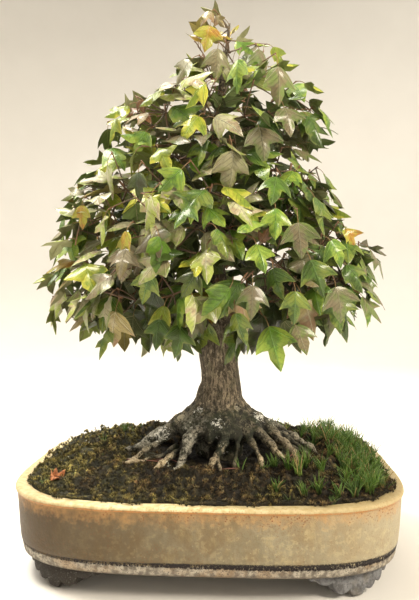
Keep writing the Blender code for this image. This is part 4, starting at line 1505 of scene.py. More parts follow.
def pressed_bark(skin):
    """The skin with its relief, and with the marks that its finish reads at every corner, three of which it
    paints as shade.
    """
    shape = bmesh.new()
    shape.from_mesh(skin)
    axes = {f"use_axis_{axis}": True for axis in "xyz"}
    bmesh.ops.smooth_vert(shape, verts=shape.verts, factor=0.5, **axes)
    shape.normal_update()
    hollow, crevice_shade, shade, silver, tan = (shape.verts.layers.float.new(name) for name in BARK_MARKS)
    moves = []
    for vert in shape.verts:
        rise, vert[hollow] = bark_relief(vert.co)
        moves.append(vert.normal * rise)
    for vert, move in zip(shape.verts, moves):
        vert.co += move
    shape.normal_update()
    skin = BVHTree.FromBMesh(shape)
    marks = []
    for course in ROOT_COURSES:
        marks += [(point, k / len(course[0]), course) for k, point in enumerate(course[0])]
    stations = KDTree(len(marks))
    for k, mark in enumerate(marks):
        stations.insert(mark[0], k)
    stations.balance()
    for vert in shape.verts:
        around = [edge.other_vert(vert).co for edge in vert.link_edges]
        middle = sum(around, Vector()) / len(around)
        vert[crevice_shade] = (middle - vert.co).dot(vert.normal) * 2000.0
        if vert.co.z < SHADE_TOP:
            vert[shade] = closed_in(skin, vert.co, vert.normal)
            _, share, course = marks[stations.find(vert.co)[1]]
            vert[silver] = course[2] * min(1.0, share * 3.0 + 0.2)
            vert[tan] = course[3] * held(share * 2.2 - 0.5)
    return shape


bark_shape = pressed_bark(bark_skin)
bpy.data.meshes.remove(bark_skin)
print("bark pressed")

# %% Bark finish
# where pale lichen sits on the flare: place and radius
LICHEN = (
    ((0.008, -0.036, 0.125), 0.011), ((-0.013, -0.02, 0.136), 0.01),
    ((0.05, -0.012, 0.128), 0.011), ((-0.05, -0.016, 0.108), 0.016),
)


def bark_finish():
    """Grey-brown bark with cracks and flakes, silvery or sandy roots, and painted shade on the trunk's left
    and in the hollows between the roots.
    """
    finish = Finish("bark", 0.8)
    x, _, z = finish.parts(finish.place)
    hollow, crevice_shade, shade, silver, tan = finish.attributes(*BARK_MARKS)
    streaks = finish.cloud((400.0, 400.0, 62.0), 5.0, 0.72, 0.5)
    cracks = finish.cloud((330.0, 330.0, 55.0), 3.0, 0.5, 0.6)
    flakes = finish.cloud(240.0, 5.0, 0.72, 0.4)
    fine = finish.cloud(800.0, 3.0, 0.6)
    broad = finish.cloud(60.0, 4.0, 0.65)
    threads = finish.cloud((260.0, 260.0, 60.0), 3.0, 0.6, 1.6)
    chips = finish.cloud(420.0, 5.0, 0.75, 1.0)
    # pale patches sit on raised bark and keep out of the painted shade
    crest_out_of_shade = (flakes * 0.5 + chips * 0.5 + hollow * 0.1 - shade * 0.35)
    heart = finish.near((0.014, -0.034, 0.11), 0.03)
    silvery = finish.mix(chips.rise(0.42, 0.6), (0.2, 0.19, 0.15), (0.52, 0.5, 0.42))
    sandy = finish.mix(chips.rise(0.42, 0.58), (0.23, 0.17, 0.095), (0.76, 0.63, 0.42))
    flare = finish.coats(
        finish.mix(flakes.rise(0.45, 0.57), (0.01, 0.01, 0.007), (0.105, 0.092, 0.06)),
        (broad.rise(0.45, 0.55) * 0.85, (0.018, 0.024, 0.008)),
        (silver * crest_out_of_shade.rise(0.44, 0.53), silvery),
        (tan * crest_out_of_shade.rise(0.41, 0.5), sandy),
        (crest_out_of_shade.rise(0.5, 0.56) * broad.rise(0.56, 0.4) * 0.6, (0.26, 0.22, 0.15)),
        (heart.rise(0.05, 0.6) * (1.0 - crest_out_of_shade.rise(0.52, 0.6)) * 0.9, (0.01, 0.013, 0.005)),
    )
    low = (z + (flakes - 0.5) * 0.04).rise(0.146, 0.128)
    flecks = finish.cloud(330.0, 5.0, 0.75, 0.8)
    group = broad.rise(0.57, 0.66) * 0.35
    for centre, radius in LICHEN:
        group = group.most(finish.near(centre, radius))
    group = group * low
    spots = (flecks + group * 0.15).rise(0.606, 0.622) * group.rise(0.05, 0.3)
    colour = finish.coats(
        finish.mix(streaks.rise(0.42, 0.56), (0.052, 0.04, 0.027), (0.33, 0.262, 0.18)),
        (abs(threads - 0.5).rise(0.026, 0.006) * 0.75, (0.43, 0.34, 0.215)),
        # painted shade: the trunk's left side is darker
        ((x - TREE_X + (broad - 0.5) * 0.02).rise(0.006, -0.02) * 0.55, (0.04, 0.029, 0.016)),
        (broad.rise(0.47, 0.39) * 0.6, (0.036, 0.028, 0.018)),
        ((z + broad * 0.03).rise(0.19, 0.225) * 0.45, (0.045, 0.034, 0.022)),
        (flakes.rise(0.54, 0.6) * 0.8, (0.44, 0.36, 0.24)),
        (fine.rise(0.58, 0.72) * 0.5, (0.06, 0.045, 0.03)),
        (broad.rise(0.5, 0.62) * 0.5, (0.095, 0.09, 0.045)),
        (abs(cracks - 0.5).rise(0.042, 0.012) * 0.8, (0.034, 0.026, 0.016)),
        (low, flare),
        (spots * 0.95, (0.86, 0.85, 0.78)),
    )
    for centre, radius in SCARS:
        away = finish.near(centre[:], radius * 1.6)
        colour = finish.coats(
            colour,
            (abs(away - 0.4).rise(0.16, 0.05) * crest_out_of_shade.rise(0.44, 0.52) * 0.6, (0.4, 0.34, 0.23)),
            (away.rise(0.42, 0.54) * crest_out_of_shade.rise(0.33, 0.46) * 0.92, (0.62, 0.57, 0.43)),
            (abs(away - 0.66).rise(0.09, 0.03) * 0.75, (0.05, 0.045, 0.03)),
        )
    # painted shade: near-black in sharp hollows, darker where the bark is sunk and near-black where it is
    # closed in, with noise to break it up
    shade_breakup = (finish.cloud(330.0, 4.0, 0.7) - 0.5) * 0.5
    colour = finish.coats(
        colour,
        (crevice_shade.rise(0.06, 0.4) * 0.8, (0.014, 0.012, 0.008)),
        (hollow.rise(-0.1, -0.45) * 0.5, (0.024, 0.021, 0.012)),
        ((shade + shade_breakup * low).rise(0.12, 0.4) * 0.92, (0.008, 0.007, 0.005)),
    )
    height = streaks * 0.5 + fine * 0.4 + flakes * 0.5 + abs(cracks - 0.5) * 1.2
    return finish.wear(colour, 0.7 + fine * 0.2, height, 0.0016)


BARK_FINISH = bark_finish()
BOUGH_NODES = [f"bough_{MASSES[index][0]}" for index in BOUGH_MASSES]
piece_from(bark_shape, "bark", [BARK_FINISH], ["trunk"] + BOUGH_NODES)

# %% The stems inside the foliage
def stem_course(index):
    """A stem that starts a little inside its bough."""
    points, radii = stem_line(index)
    along = (points[1] - points[0]).normalized()
    points, radii = as_course([points[0] - along * 0.004] + points[1:], radii, 16)
    return points, [r * (1.0 + 0.1 * math.sin(5.0 * k)) for k, r in enumerate(radii)], even(16)


stem_data = joined_tubes("stems", [stem_course(index) for index in range(len(MASSES))], 10)
for layer in BARK_MARKS:
    stem_data.attributes.new(layer, "FLOAT", "POINT")
piece_from(stem_data, "stems", [BARK_FINISH], FOLIAGE_NODES)

# %% [markdown]
# ## The pot
#
# A shallow stoneware pot with soft corners: its plan is a superellipse, half way from an ellipse to
# a rectangle. It was pressed by hand, so its wall is not quite true, and glaze has nearly filled its
# groove along the left and the front. We sweep one ring of the plan through the profile: foot band,
# groove, wall, round lip, and down the inside.

# %% The pot's plan and profile
BAND_HEIGHT = 0.0085
LIP_HEIGHT = 0.0045
POT_SIDES = 192
GROOVE_Z = FOOT_HEIGHT + BAND_HEIGHT


def outline(angle, inset, height):
    """A point of the pot's plan, moved in from the rim."""
    share = 2.0 / POT_POWER
    cosine, sine = math.cos(angle), math.sin(angle)
    x = (POT_LENGTH / 2 - inset) * math.copysign(abs(cosine) ** share, cosine)
    y = (POT_DEPTH / 2 - inset) * math.copysign(abs(sine) ** share, sine)
    return Vector((x, y, height))


def even_angles(count):
    """Angles that space the plan's points evenly along it."""
    trial = [math.tau * k / 3600 for k in range(3601)]
    points = [outline(angle, 0.0, 0.0) for angle in trial]
    runs = np.cumsum([0.0] + [(b - a).length for a, b in zip(points, points[1:])])
    return np.interp(np.linspace(0.0, runs[-1], count, endpoint=False), runs, trial)


def plan_ring(angles, inset, height):
    """The plan's points at one height."""
    return [outline(angle, inset, height) for angle in angles]


# inset and height of each ring, from the underside round the lip to the inside
POT_PROFILE = (
    (0.012, FOOT_HEIGHT), (0.0084, FOOT_HEIGHT), (0.0073, FOOT_HEIGHT + 0.0004),
    (0.0066, FOOT_HEIGHT + 0.0013), (0.0062, FOOT_HEIGHT + 0.0026), (0.0057, FOOT_HEIGHT + 0.006),
    (0.0055, GROOVE_Z - 0.0008), (0.0057, GROOVE_Z - 0.0002), (0.0063, GROOVE_Z + 0.0002),
    (0.0066, GROOVE_Z + 0.0006), (0.0066, GROOVE_Z + 0.0015), (0.0062, GROOVE_Z + 0.0021),
    (0.005, GROOVE_Z + 0.0026), (0.0044, GROOVE_Z + 0.0033), (0.004, GROOVE_Z + 0.007), (0.0033, 0.045),
    (0.0026, 0.056), (0.002, 0.066), (0.0016, RIM_Z - 0.0062), (0.0015, RIM_Z - LIP_HEIGHT - 0.0004),
    (0.0011, RIM_Z - LIP_HEIGHT), (0.0004, RIM_Z - 0.0037), (0.0, RIM_Z - 0.0026), (0.0002, RIM_Z - 0.0014),
    (0.001, RIM_Z - 0.0005), (0.0022, RIM_Z), (0.0055, RIM_Z - 0.0002), (0.0092, RIM_Z),
    (0.0107, RIM_Z - 0.0004), (0.0117, RIM_Z - 0.0014), (0.0123, RIM_Z - 0.0045), (0.014, 0.056),
    (0.016, 0.039), (0.0225, FOOT_HEIGHT + 0.01),
)


def pot_shape():
    angles = even_angles(POT_SIDES)
    rings = []
    for inset, height in POT_PROFILE:
        ring = []
        for angle in angles:
            point = outline(angle, inset, height)
            if GROOVE_Z - 0.0003 < height < GROOVE_Z + 0.0028:
                inset += (0.0052 - inset) * min(1.0, max(0.0, (-0.05 - point.x) / 0.08))
            hollow = 0.5 + 0.5 * noise.noise(Vector((point.x * 22.0, point.y * 22.0, height * 40.0)))
            point = outline(angle, inset + 0.0007 * hollow, height)
            point.z += 0.0004 * noise.noise(Vector((point.x * 30.0, point.y * 30.0, 5.0))) * (height > 0.07)
            ring.append(point)
        rings.append(ring)
    return swept(rings)


print("pot:", POT_SIDES, "by", len(POT_PROFILE))

# %% Glaze
def glaze_finish():
    """Ochre stoneware: mottled wall, darker to the left and front with painted shade and paler to the right
    with painted light, orange lip line, pale rim, bare foot band and a dark groove.
    """
    finish = Finish("glaze", 0.5, Specular_IOR_Level=0.3)
    x, y, z = finish.parts(finish.place)
    patches = finish.cloud(30.0, 4.0, 0.6)
    clouds = finish.cloud((75.0, 75.0, 45.0), 4.0, 0.6)
    mottle = finish.cloud(200.0, 4.0, 0.65)
    grain = finish.cloud(800.0, 3.0, 0.6)
    runs = finish.cloud((170.0, 170.0, 16.0), 4.0, 0.6)
    wall = finish.coats(
        finish.mix(patches.rise(0.38, 0.62), (0.23, 0.168, 0.086), (0.262, 0.224, 0.144)),
        (clouds.rise(0.48, 0.62) * 0.55, (0.225, 0.2, 0.13)),
        (clouds.rise(0.46, 0.34) * 0.5, (0.385, 0.3, 0.145)),
        (runs.rise(0.5, 0.62) * z.rise(0.07, 0.04) * 0.55, (0.19, 0.165, 0.105)),
        (mottle.rise(0.52, 0.6) * 0.45, (0.43, 0.36, 0.2)),
        (mottle.rise(0.45, 0.37) * 0.45, (0.2, 0.15, 0.08)),
        (grain.rise(0.54, 0.66) * 0.5, (0.16, 0.115, 0.055)),
    )
    # painted shade: side is 1 towards the left and the front, where the wall is darkened below
    side = (x + (patches - 0.5) * 0.05).rise(0.1, -0.17) * (y + (clouds - 0.5) * 0.08).rise(0.11, -0.09)
    upper = (z + (mottle - 0.5) * 0.03 + (patches - 0.5) * 0.02).rise(0.06, 0.078)
    specks = finish.cells(420.0) + (grain - 0.5) * 0.3
    rust = specks.rise(0.34, 0.2) * finish.cloud(48.0, 3.0).rise(0.46, 0.54)
    pale = (finish.cells(300.0) + (mottle - 0.5) * 0.4).rise(0.16, 0.04)
    wall = finish.coats(
        finish.mix(side, wall, finish.mix(0.94, wall, (0.05, 0.027, 0.006))),
        # painted light: paler towards the right
        ((x + (patches - 0.5) * 0.08).rise(0.03, 0.17) * 0.4, (0.5, 0.44, 0.3)),
        (upper * (clouds.rise(0.42, 0.56) * 0.35 + 0.35), (0.42, 0.22, 0.072)),
        (rust * (0.25 + upper * 0.7), (0.17, 0.055, 0.016)),
        (pale * z.rise(0.062, 0.036) * x.rise(-0.16, 0.1) * 0.5, (0.6, 0.52, 0.34)),
    )
    rim = finish.coats(
        finish.mix(mottle.rise(0.36, 0.6), (0.5, 0.395, 0.19), (0.7, 0.6, 0.36)),
        (grain.rise(0.54, 0.7) * 0.5, (0.26, 0.19, 0.09)),
        (rust * 0.6, (0.42, 0.21, 0.08)),
        (x.rise(-0.04, -0.16) * y.rise(0.06, -0.06) * 0.45, (0.25, 0.17, 0.075)),
        (x.rise(-0.02, 0.13) * (mottle * 0.5 + 0.35), (0.3, 0.215, 0.095)),
    )
    wander = (finish.cloud(60.0, 2.0) - 0.5) * 0.0018 + (grain - 0.5) * 0.0012
    line = abs(z + wander - (RIM_Z - 0.0038)).rise(0.0011, 0.0003)
    band = finish.coats(
        finish.mix(mottle.rise(0.4, 0.58), (0.15, 0.13, 0.105), (0.4, 0.36, 0.29)),
        (patches.rise(0.48, 0.62) * 0.5, (0.33, 0.215, 0.11)),
        (grain.rise(0.5, 0.62) * 0.75, (0.075, 0.062, 0.05)),
        (z.rise(FOOT_HEIGHT + 0.003, FOOT_HEIGHT) * 0.7, (0.07, 0.055, 0.04)),
    )
    ink = finish.cloud((620.0, 620.0, 434.0), 4.0, 0.8)
    worn = finish.cloud(32.0, 3.0, 0.6)
    wide = 0.0012 + x.rise(-0.12, 0.1) * 0.0011
    # a near-black line along the groove, broken by noise, wider and fuller to the right
    edge = (abs(z + (ink - 0.5) * 0.006 - (GROOVE_Z + 0.0016)) - wide).rise(0.0006, 0.0)
    groove_dark = edge * (ink + (worn - 0.5) * 0.5 + x.rise(-0.14, 0.06) * 0.13).rise(0.5, 0.54)
    corner = finish.near((-0.158, -0.094, GROOVE_Z + 0.0065), 0.03)
    scribble = (finish.cells(420.0) + (ink - 0.5) * 0.8).rise(0.4, 0.22)
    high = abs(z - (GROOVE_Z + 0.0078)).rise(0.0036, 0.0022)
    colour = finish.coats(
        finish.mix((z + wander).rise(RIM_Z - 0.0032, RIM_Z - 0.0022), wall, rim),
        (line * mottle.rise(0.34, 0.5) * 0.85, (0.44, 0.19, 0.055)),
        ((z + wander).rise(GROOVE_Z + 0.0012, GROOVE_Z + 0.0002), band),
        (groove_dark, (0.012, 0.008, 0.008)),
        (scribble * high * corner.rise(0.15, 0.4) * 0.85, (0.045, 0.028, 0.025)),
    )
    rough = 0.4 + mottle * 0.2 + (z.rise(GROOVE_Z + 0.002, GROOVE_Z) * 0.3)
    return finish.wear(colour, rough, mottle * 0.5 + clouds * 0.6 + grain * 0.5 - groove_dark * 0.5, 0.0008)


piece_from(pot_shape(), "pot_glazed", [glaze_finish()], ["pot"])

# %% [markdown]
# ## The feet
#
# Four cloud-shaped brackets of bare grey clay carry the pot at its corners, darker on the left with
# painted shade. Each one's lower edge is a row of rounded lobes. We sweep a closed section round the
# corner, its height given by the lobes, and mirror the result twice for the other three.

# %% Cloud feet
FOOT_INSET = 0.0125
FOOT_THICKNESS = 0.0095
FOOT_WEB = 0.0055
FOOT_FLAT = 0.0007
FOOT_ROUND = 0.0011
FOOT_ANGLES = (72.5, 24.0)
FOOT_STATIONS = 120
# lobes along a bracket: place and half width as shares of its run, height of the lowest point
FOOT_LOBES = (
    (0.1, 0.08, 0.0118), (0.24, 0.086, 0.0034), (0.4, 0.094, -FOOT_FLAT), (0.56, 0.086, 0.003),
    (0.71, 0.082, 0.0062), (0.87, 0.09, 0.0105),
)
SCALLOP = 0.0086


def foot_edge(share):
    """Height of a bracket's scalloped lower edge."""
    height = FOOT_HEIGHT - FOOT_WEB
    for place, half, low in FOOT_LOBES:
        off = abs(share - place) / half
        if off < 1.0:
            height = min(height, low + SCALLOP * (1.0 - math.sqrt(1.0 - off * off)))
    return max(height, 0.0)


def foot_section(angle, low):
    """The bracket's closed section at an angle: outer face, rounded lower edge and inner face."""
    top = FOOT_HEIGHT + 0.0008
    side = [top, low + 2.0 * FOOT_ROUND, low + 1.4 * FOOT_ROUND]
    rows = [(FOOT_INSET, height) for height in side]
    for k in range(7):
        turn = math.pi * k / 6
        inset = FOOT_INSET + 0.5 * FOOT_THICKNESS - 0.5 * FOOT_THICKNESS * math.cos(turn)
        rows.append((inset, low + FOOT_ROUND * (1.0 - math.sin(turn))))
    rows += [(FOOT_INSET + FOOT_THICKNESS, height) for height in reversed(side)]
    return [outline(angle, inset, height) for inset, height in rows]


def foot_shape():
    """One bracket swept round its corner, then mirrored to the other three."""
    first, last = (math.radians(angle) for angle in FOOT_ANGLES)
    rings = [foot_section(first + share * (last - first), foot_edge(share)) for share in even(FOOT_STATIONS)]
    feet = swept(rings)
    for axis in ("X", "Y"):
        bmesh.ops.mirror(feet, geom=feet.verts[:] + feet.edges[:] + feet.faces[:], axis=axis, merge_dist=-1.0)
    bmesh.ops.recalc_face_normals(feet, faces=feet.faces)
    for vert in feet.verts:
        if 0.0012 < vert.co.z < FOOT_HEIGHT - 0.001:
            vert.co += vert.normal * 0.0003 * noise.fractal(vert.co * 260.0, 0.8, 2.0, 3)
    return feet


def clay_finish():
    """Bare grey clay, lumpy and gritty, with brown painted shade on the left."""
    finish = Finish("clay", 0.85)
    x = finish.parts(finish.place)[0]
    lumps = finish.cloud(160.0, 4.0, 0.6)
    grit = finish.cloud(900.0, 3.0, 0.6)
    colour = finish.coats(
        finish.mix(lumps.rise(0.38, 0.62), (0.088, 0.086, 0.088), (0.19, 0.192, 0.2)),
        (finish.cloud(45.0, 2.0).rise(0.5, 0.62) * 0.5, (0.15, 0.13, 0.1)),
        # painted shade: darker and browner to the left
        (x.rise(0.02, -0.05) * 0.92, (0.024, 0.018, 0.012)),
        (grit.rise(0.6, 0.72) * 0.6, (0.36, 0.34, 0.31)),
        (grit.rise(0.42, 0.3) * 0.6, (0.04, 0.036, 0.034)),
    )
    return finish.wear(colour, 0.75 + lumps * 0.2, lumps * 0.5 + grit * 0.6, 0.0012)


FEET_NODES = [f"foot_{depth}_{side}" for depth in ("front", "back") for side in ("left", "right")]
piece_from(foot_shape(), "feet", [clay_finish()], FEET_NODES)

# %% [markdown]
# ## The soil
#
# The soil rises from under the rim to a low mound round the tree, sinks a little in front of the
# trunk, and settles in soft lumps. One function gives its height anywhere: the soil's skin, the moss
# and the grass all stand on it.

# %% How high the soil is
SOIL_DROP = 0.0045
SOIL_INSET = 0.0134
MOUND_RADII = (0.11, 0.088)
HOLLOW_DIP = 0.007


def soil_share(x, y):
    """0 at the pot's wall, 1 from the edge of the mound's top inwards."""
    low, high = 0.0, 1.0
    angle = math.atan2(y / MOUND_RADII[1], (x - TREE_X) / MOUND_RADII[0])
    inner = Vector((TREE_X + MOUND_RADII[0] * math.cos(angle), MOUND_RADII[1] * math.sin(angle)))
    if math.hypot((x - TREE_X) / MOUND_RADII[0], y / MOUND_RADII[1]) <= 1.0:
        return 1.0
    way = Vector((x - inner.x, y - inner.y))
    reach = way.length

    def wall(point):
        half = (POT_LENGTH / 2 - SOIL_INSET, POT_DEPTH / 2 - SOIL_INSET)
        return abs(point.x / half[0]) ** POT_POWER + abs(point.y / half[1]) ** POT_POWER

    for _ in range(14):
        middle = 0.5 * (low + high)
        if wall(inner + way.normalized() * middle * 0.1) < 1.0:
            low = middle
        else:
            high = middle
    return max(0.0, 1.0 - reach / (low * 0.1 + 1e-9))


def ground_height(x, y):
    """The soil's height at a place, lumps and all."""
    share = soil_share(x, y)
    height = RIM_Z - SOIL_DROP + (MOUND_RISE + SOIL_DROP) * share * share * (3.0 - 2.0 * share)
    lumps = noise.fractal(Vector((x * 42.0, y * 42.0, 3.0)), 0.9, 2.0, 3)
    away = math.hypot((x - TREE_X + 0.004) / 0.092, (y + 0.022) / 0.066)
    dip = HOLLOW_DIP * max(0.0, 1.0 - away * away)
    return height - dip + 0.0022 * lumps * min(1.0, 4.0 * share + 0.15)


def inner_ring(wall, share, height_at):
    """A ring of the ground, drawn in from the pot's wall towards the tree."""
    ring = []
    for point in wall:
        x = point.x + share * (TREE_X - point.x)
        y = point.y * (1.0 - share)
        ring.append(Vector((x, y, height_at(x, y))))
    return ring


def soil_shape():
    """The soil from the pot's floor up its wall and in to the tree."""
    angles = even_angles(220)
    rows = ((0.0231, 0.0313), (0.0166, 0.039), (SOIL_INSET, RIM_Z - SOIL_DROP))
    rings = [plan_ring(angles, inset, height) for inset, height in rows]
    wall = rings[-1]
    rings += [inner_ring(wall, (k / 57) ** 0.9, ground_height) for k in range(1, 57)]
    return swept(rings)


def soil_finish():
    """Dark damp soil with a green film and paler grit, and near-black painted shade under the tree."""
    finish = Finish("soil", 0.95)
    clods = finish.cloud(90.0, 5.0, 0.65)
    grit = finish.cells(420.0)
    foot = finish.distance((TREE_X, 0.0, 0.09))
    colour = finish.coats(
        finish.mix(clods.rise(0.4, 0.62), (0.018, 0.014, 0.009), (0.07, 0.05, 0.028)),
        (finish.cloud(30.0, 3.0).rise(0.46, 0.6) * 0.7, (0.05, 0.052, 0.016)),
        (grit.rise(0.2, 0.1) * 0.4, (0.17, 0.13, 0.08)),
        # painted shade: near-black under the tree
        ((foot + (clods - 0.5) * 0.02).rise(0.068, 0.05) * 0.9, (0.005, 0.004, 0.003)),
    )
    return finish.wear(colour, 0.85 + clods * 0.1, clods - grit * 0.5, 0.003)


piece_from(soil_shape(), "soil_mound", [soil_finish()], ["soil"])

# %% [markdown]
# ## Moss
#
# Spiky cushion moss covers the soil: olive on the left, brown in front, thin between the roots, where it is
# dark with painted shade. Under it lies a bed with the shape of its cushions, which creeps over the rim in
# places.
# One sprig is a handful of slender pyramids that lean out from one foot. Copies of a few sprigs
# stand all over the bed, in three stretches from front to back, and values on each tell its finish
# how green it is, how bright, and how near its tip; painted shade darkens the feet and the gaps between
# cushions.

# %% Where moss and grass can stand
bark_tree = BVHTree.FromObject(bpy.data.objects["bark"], bpy.context.evaluated_depsgraph_get())
MOSS_DEPTH = 0.005
MOSS_BARE = (0.082, 0.106)
CUSHIONS = 110.0


def cushion(x, y):
    """0 in the gaps between the moss's cushions, 1 on top of one."""
    warp = noise.noise_vector(Vector((x * 60.0, y * 60.0, 1.0))) * 0.004
    near, far = noise.voronoi(Vector(((x + warp.x) * CUSHIONS, (y + warp.y) * CUSHIONS, 0.0)))[0][:2]
    return min(1.0, 1.9 * (far - near)) ** 0.6


def moss_top(x, y):
    """The height of the moss cushions: none in the hollows under the roots, full from there on."""
    away = math.hypot(x - TREE_X, 1.25 * y)
    start = MOSS_BARE[0] + 0.01 * ripple(x, y, 30.0, 2.0) - (0.04 if y > 0.02 else 0.0)
    cover = held((away - start) / (MOSS_BARE[1] - MOSS_BARE[0]))
    ground = ground_height(x, y)
    if cover and away < 0.13:
        near = bark_tree.find_nearest(Vector((x, y, ground)))[3]
        cover *= min(1.0, 0.15 + max(0.0, near - 0.001) / 0.009)
    lumps = noise.fractal(Vector((x * 38.0, y * 38.0, 6.0)), 0.8, 2.1, 3)
    depth = MOSS_DEPTH + 0.0034 * held((y - 0.02) / 0.06) + 0.0062 * lumps + 0.006 * (cushion(x, y) - 0.6)
    return ground + cover * depth - 0.0006 * (1.0 - cover)


def moss_edge(x, y):
    """How far in from the pot's outside the moss ends: it creeps out over the rim in places."""
    creep = max(0.0, 0.42 + ripple(x, y, 45.0, 4.0))
    ragged = 0.0016 * ripple(x, y, 190.0, 4.0)
    return 0.0118 + ragged - 0.008 * creep * min(1.0, max(0.3, (x + 0.17) / 0.06))


def in_pot(x, y, inset):
    """Whether a place is inside the pot's plan, moved in from the rim."""
    across, deep = abs(x / (POT_LENGTH / 2 - inset)), abs(y / (POT_DEPTH / 2 - inset))
    return across ** POT_POWER + deep ** POT_POWER < 1.0


def in_the_open(x, y, room):
    """A place on the moss or bare soil, if it isn't in a root or under the trunk."""
    place = Vector((x, y, moss_top(x, y) + 0.0015))
    nearest, normal, _, away = bark_tree.find_nearest(place)
    if away < room or (place - nearest).dot(normal) < 0.0 and away < 0.03:
        return None
    return place - UP * 0.0015 if math.hypot(x - TREE_X, y) >= 0.03 else None


print("bark tree ready")

# %% Moss sprigs
# each stretch of moss: from y to y, and how many sprigs
MOSS_BANDS = {"front": (-0.14, -0.055, 9900), "middle": (-0.055, 0.0, 7600), "back": (0.0, 0.14, 9000)}
MOSS_MARKS = ("tip", "green", "tint")
SPIKES = 5


def sprig_mould(dice):
    """A sprig of unit size: corners, faces and how near the tip each corner is."""
    corners, faces, tips = [], [], []
    turn = dice.uniform(0.0, math.tau)
    for k in range(SPIKES):
        lean = dice.uniform(0.25, 1.25) if k else 0.05
        bearing = turn + math.tau * k / (SPIKES - 1) + dice.uniform(-0.3, 0.3)
        way = Vector((math.sin(lean) * math.cos(bearing), math.sin(lean) * math.sin(bearing), math.cos(lean)))
        side = way.orthogonal().normalized()
        across = way.cross(side)
        low = len(corners)
        for j in range(3):
            spot = side * math.cos(math.tau * j / 3) + across * math.sin(math.tau * j / 3)
            corners.append(way * 0.05 + spot * 0.12 - UP * 0.25)
        corners.append(way * dice.uniform(0.75, 1.1))
        faces += [(low + 2, low + 1, low)] + [(low + j, low + (j + 1) % 3, low + 3) for j in range(3)]
        tips += [0.0, 0.0, 0.0, 1.0]
    return np.array([c[:] for c in corners]), faces, np.array(tips)


def moss_colour(x, y, dice):
    """How green the moss is at a place: olive to the left, brown in front and in the middle."""
    patch = noise.fractal(Vector((x * 26.0, y * 26.0, 8.0)), 0.9, 2.0, 2)
    edge = 0.2 if math.hypot(x / 0.17, y / 0.125) > 0.86 else 0.0
    return held(0.14 + 0.56 * held((-0.035 - x) / 0.06) + edge + 0.75 * patch + dice.gauss(0.0, 0.12))


def bed_shape():
    """The moss's own body: cushions from the rim inwards, with a rounded, uneven edge on the rim."""
    angles = even_angles(300)
    edge = [moss_edge(point.x, point.y) + 0.0028 for point in plan_ring(angles, 0.012, 0.0)]

    def edge_ring(more, height):
        return [outline(a, inset + more, height) for a, inset in zip(angles, edge)]

    rings = [plan_ring(angles, 0.014, RIM_Z - 0.009), plan_ring(angles, 0.0128, RIM_Z - 0.004)]
    rings += [edge_ring(0.0, RIM_Z + 0.0002), edge_ring(0.0006, RIM_Z + 0.0014)]
    wall = edge_ring(0.0022, RIM_Z)
    for k in range(72):
        floor = RIM_Z + 0.001 if k < 3 else 0.0
        rings.append(inner_ring(wall, (k / 74) ** 0.95, lambda x, y: max(moss_top(x, y), floor)))
    bed = swept(rings)
    layers = [bed.verts.layers.float.new(name) for name in MOSS_MARKS]
    dice = random.Random("bed")
    for vert in bed.verts:
        hump = noise.fractal(vert.co * 300.0, 0.8, 2.0, 2)
        vert.co.z += 0.0006 * hump
        x, y, _ = vert.co
        speck = 0.45 + 1.4 * ripple(x, y, 360.0, 0.0)
        # the tip mark is lower in the gaps between cushions, which the finish paints as shade
        marks = (0.5 * cushion(x, y) + 0.3 * hump, moss_colour(x, y, dice), speck)
        for layer, value in zip(layers, marks):
            vert[layer] = value
    return bed


def moss_mesh(part):
    """Sprigs over one stretch of the pot."""
    dice = random.Random(f"moss {part}")
    moulds = [sprig_mould(dice) for _ in range(8)]
    corners, faces, marks = [], [], []
    count = placed = 0
    near, far, sprigs = MOSS_BANDS[part]
    while placed < sprigs:
        x = dice.uniform(-1.0, 1.0) * (POT_LENGTH / 2 - 0.004)
        y = dice.uniform(near, far)
        if not in_pot(x, y, moss_edge(x, y) + dice.uniform(-0.001, 0.001)):
            continue
        foot = in_the_open(x, y, 0.0008)
        if foot is None:
            continue
        foot.z = max(foot.z, RIM_Z + 0.0008)
        dome = cushion(x, y)
        placed += 1
        mould, mould_faces, tips = dice.choice(moulds)
        size = dice.uniform(0.0018, 0.0038) * (0.45 + 0.65 * dome)
        turn = dice.uniform(0.0, math.tau)
        cosine, sine = math.cos(turn) * size, math.sin(turn) * size
        axes = np.array([[cosine, sine, 0.0], [-sine, cosine, 0.0], [0.0, 0.0, size]])
        corners.append(mould @ axes + np.array(foot[:]))
        faces += [[count + k for k in corner] for corner in mould_faces]
        count += len(mould)
        green = moss_colour(x, y, dice)
        speck = held(0.5 + 1.7 * ripple(x, y, 360.0, 0.0) + dice.gauss(0.0, 0.16))
        # a sprig's foot, and every corner in a gap between cushions, gets a low tip mark, which the finish
        # paints as shade
        marks.append([(tip * (0.1 + 0.9 * dome), green, speck) for tip in tips])
    layers = dict(zip(MOSS_MARKS, np.concatenate(marks).T))
    return mesh_from(f"moss_{part}", np.concatenate(corners), faces, **layers)


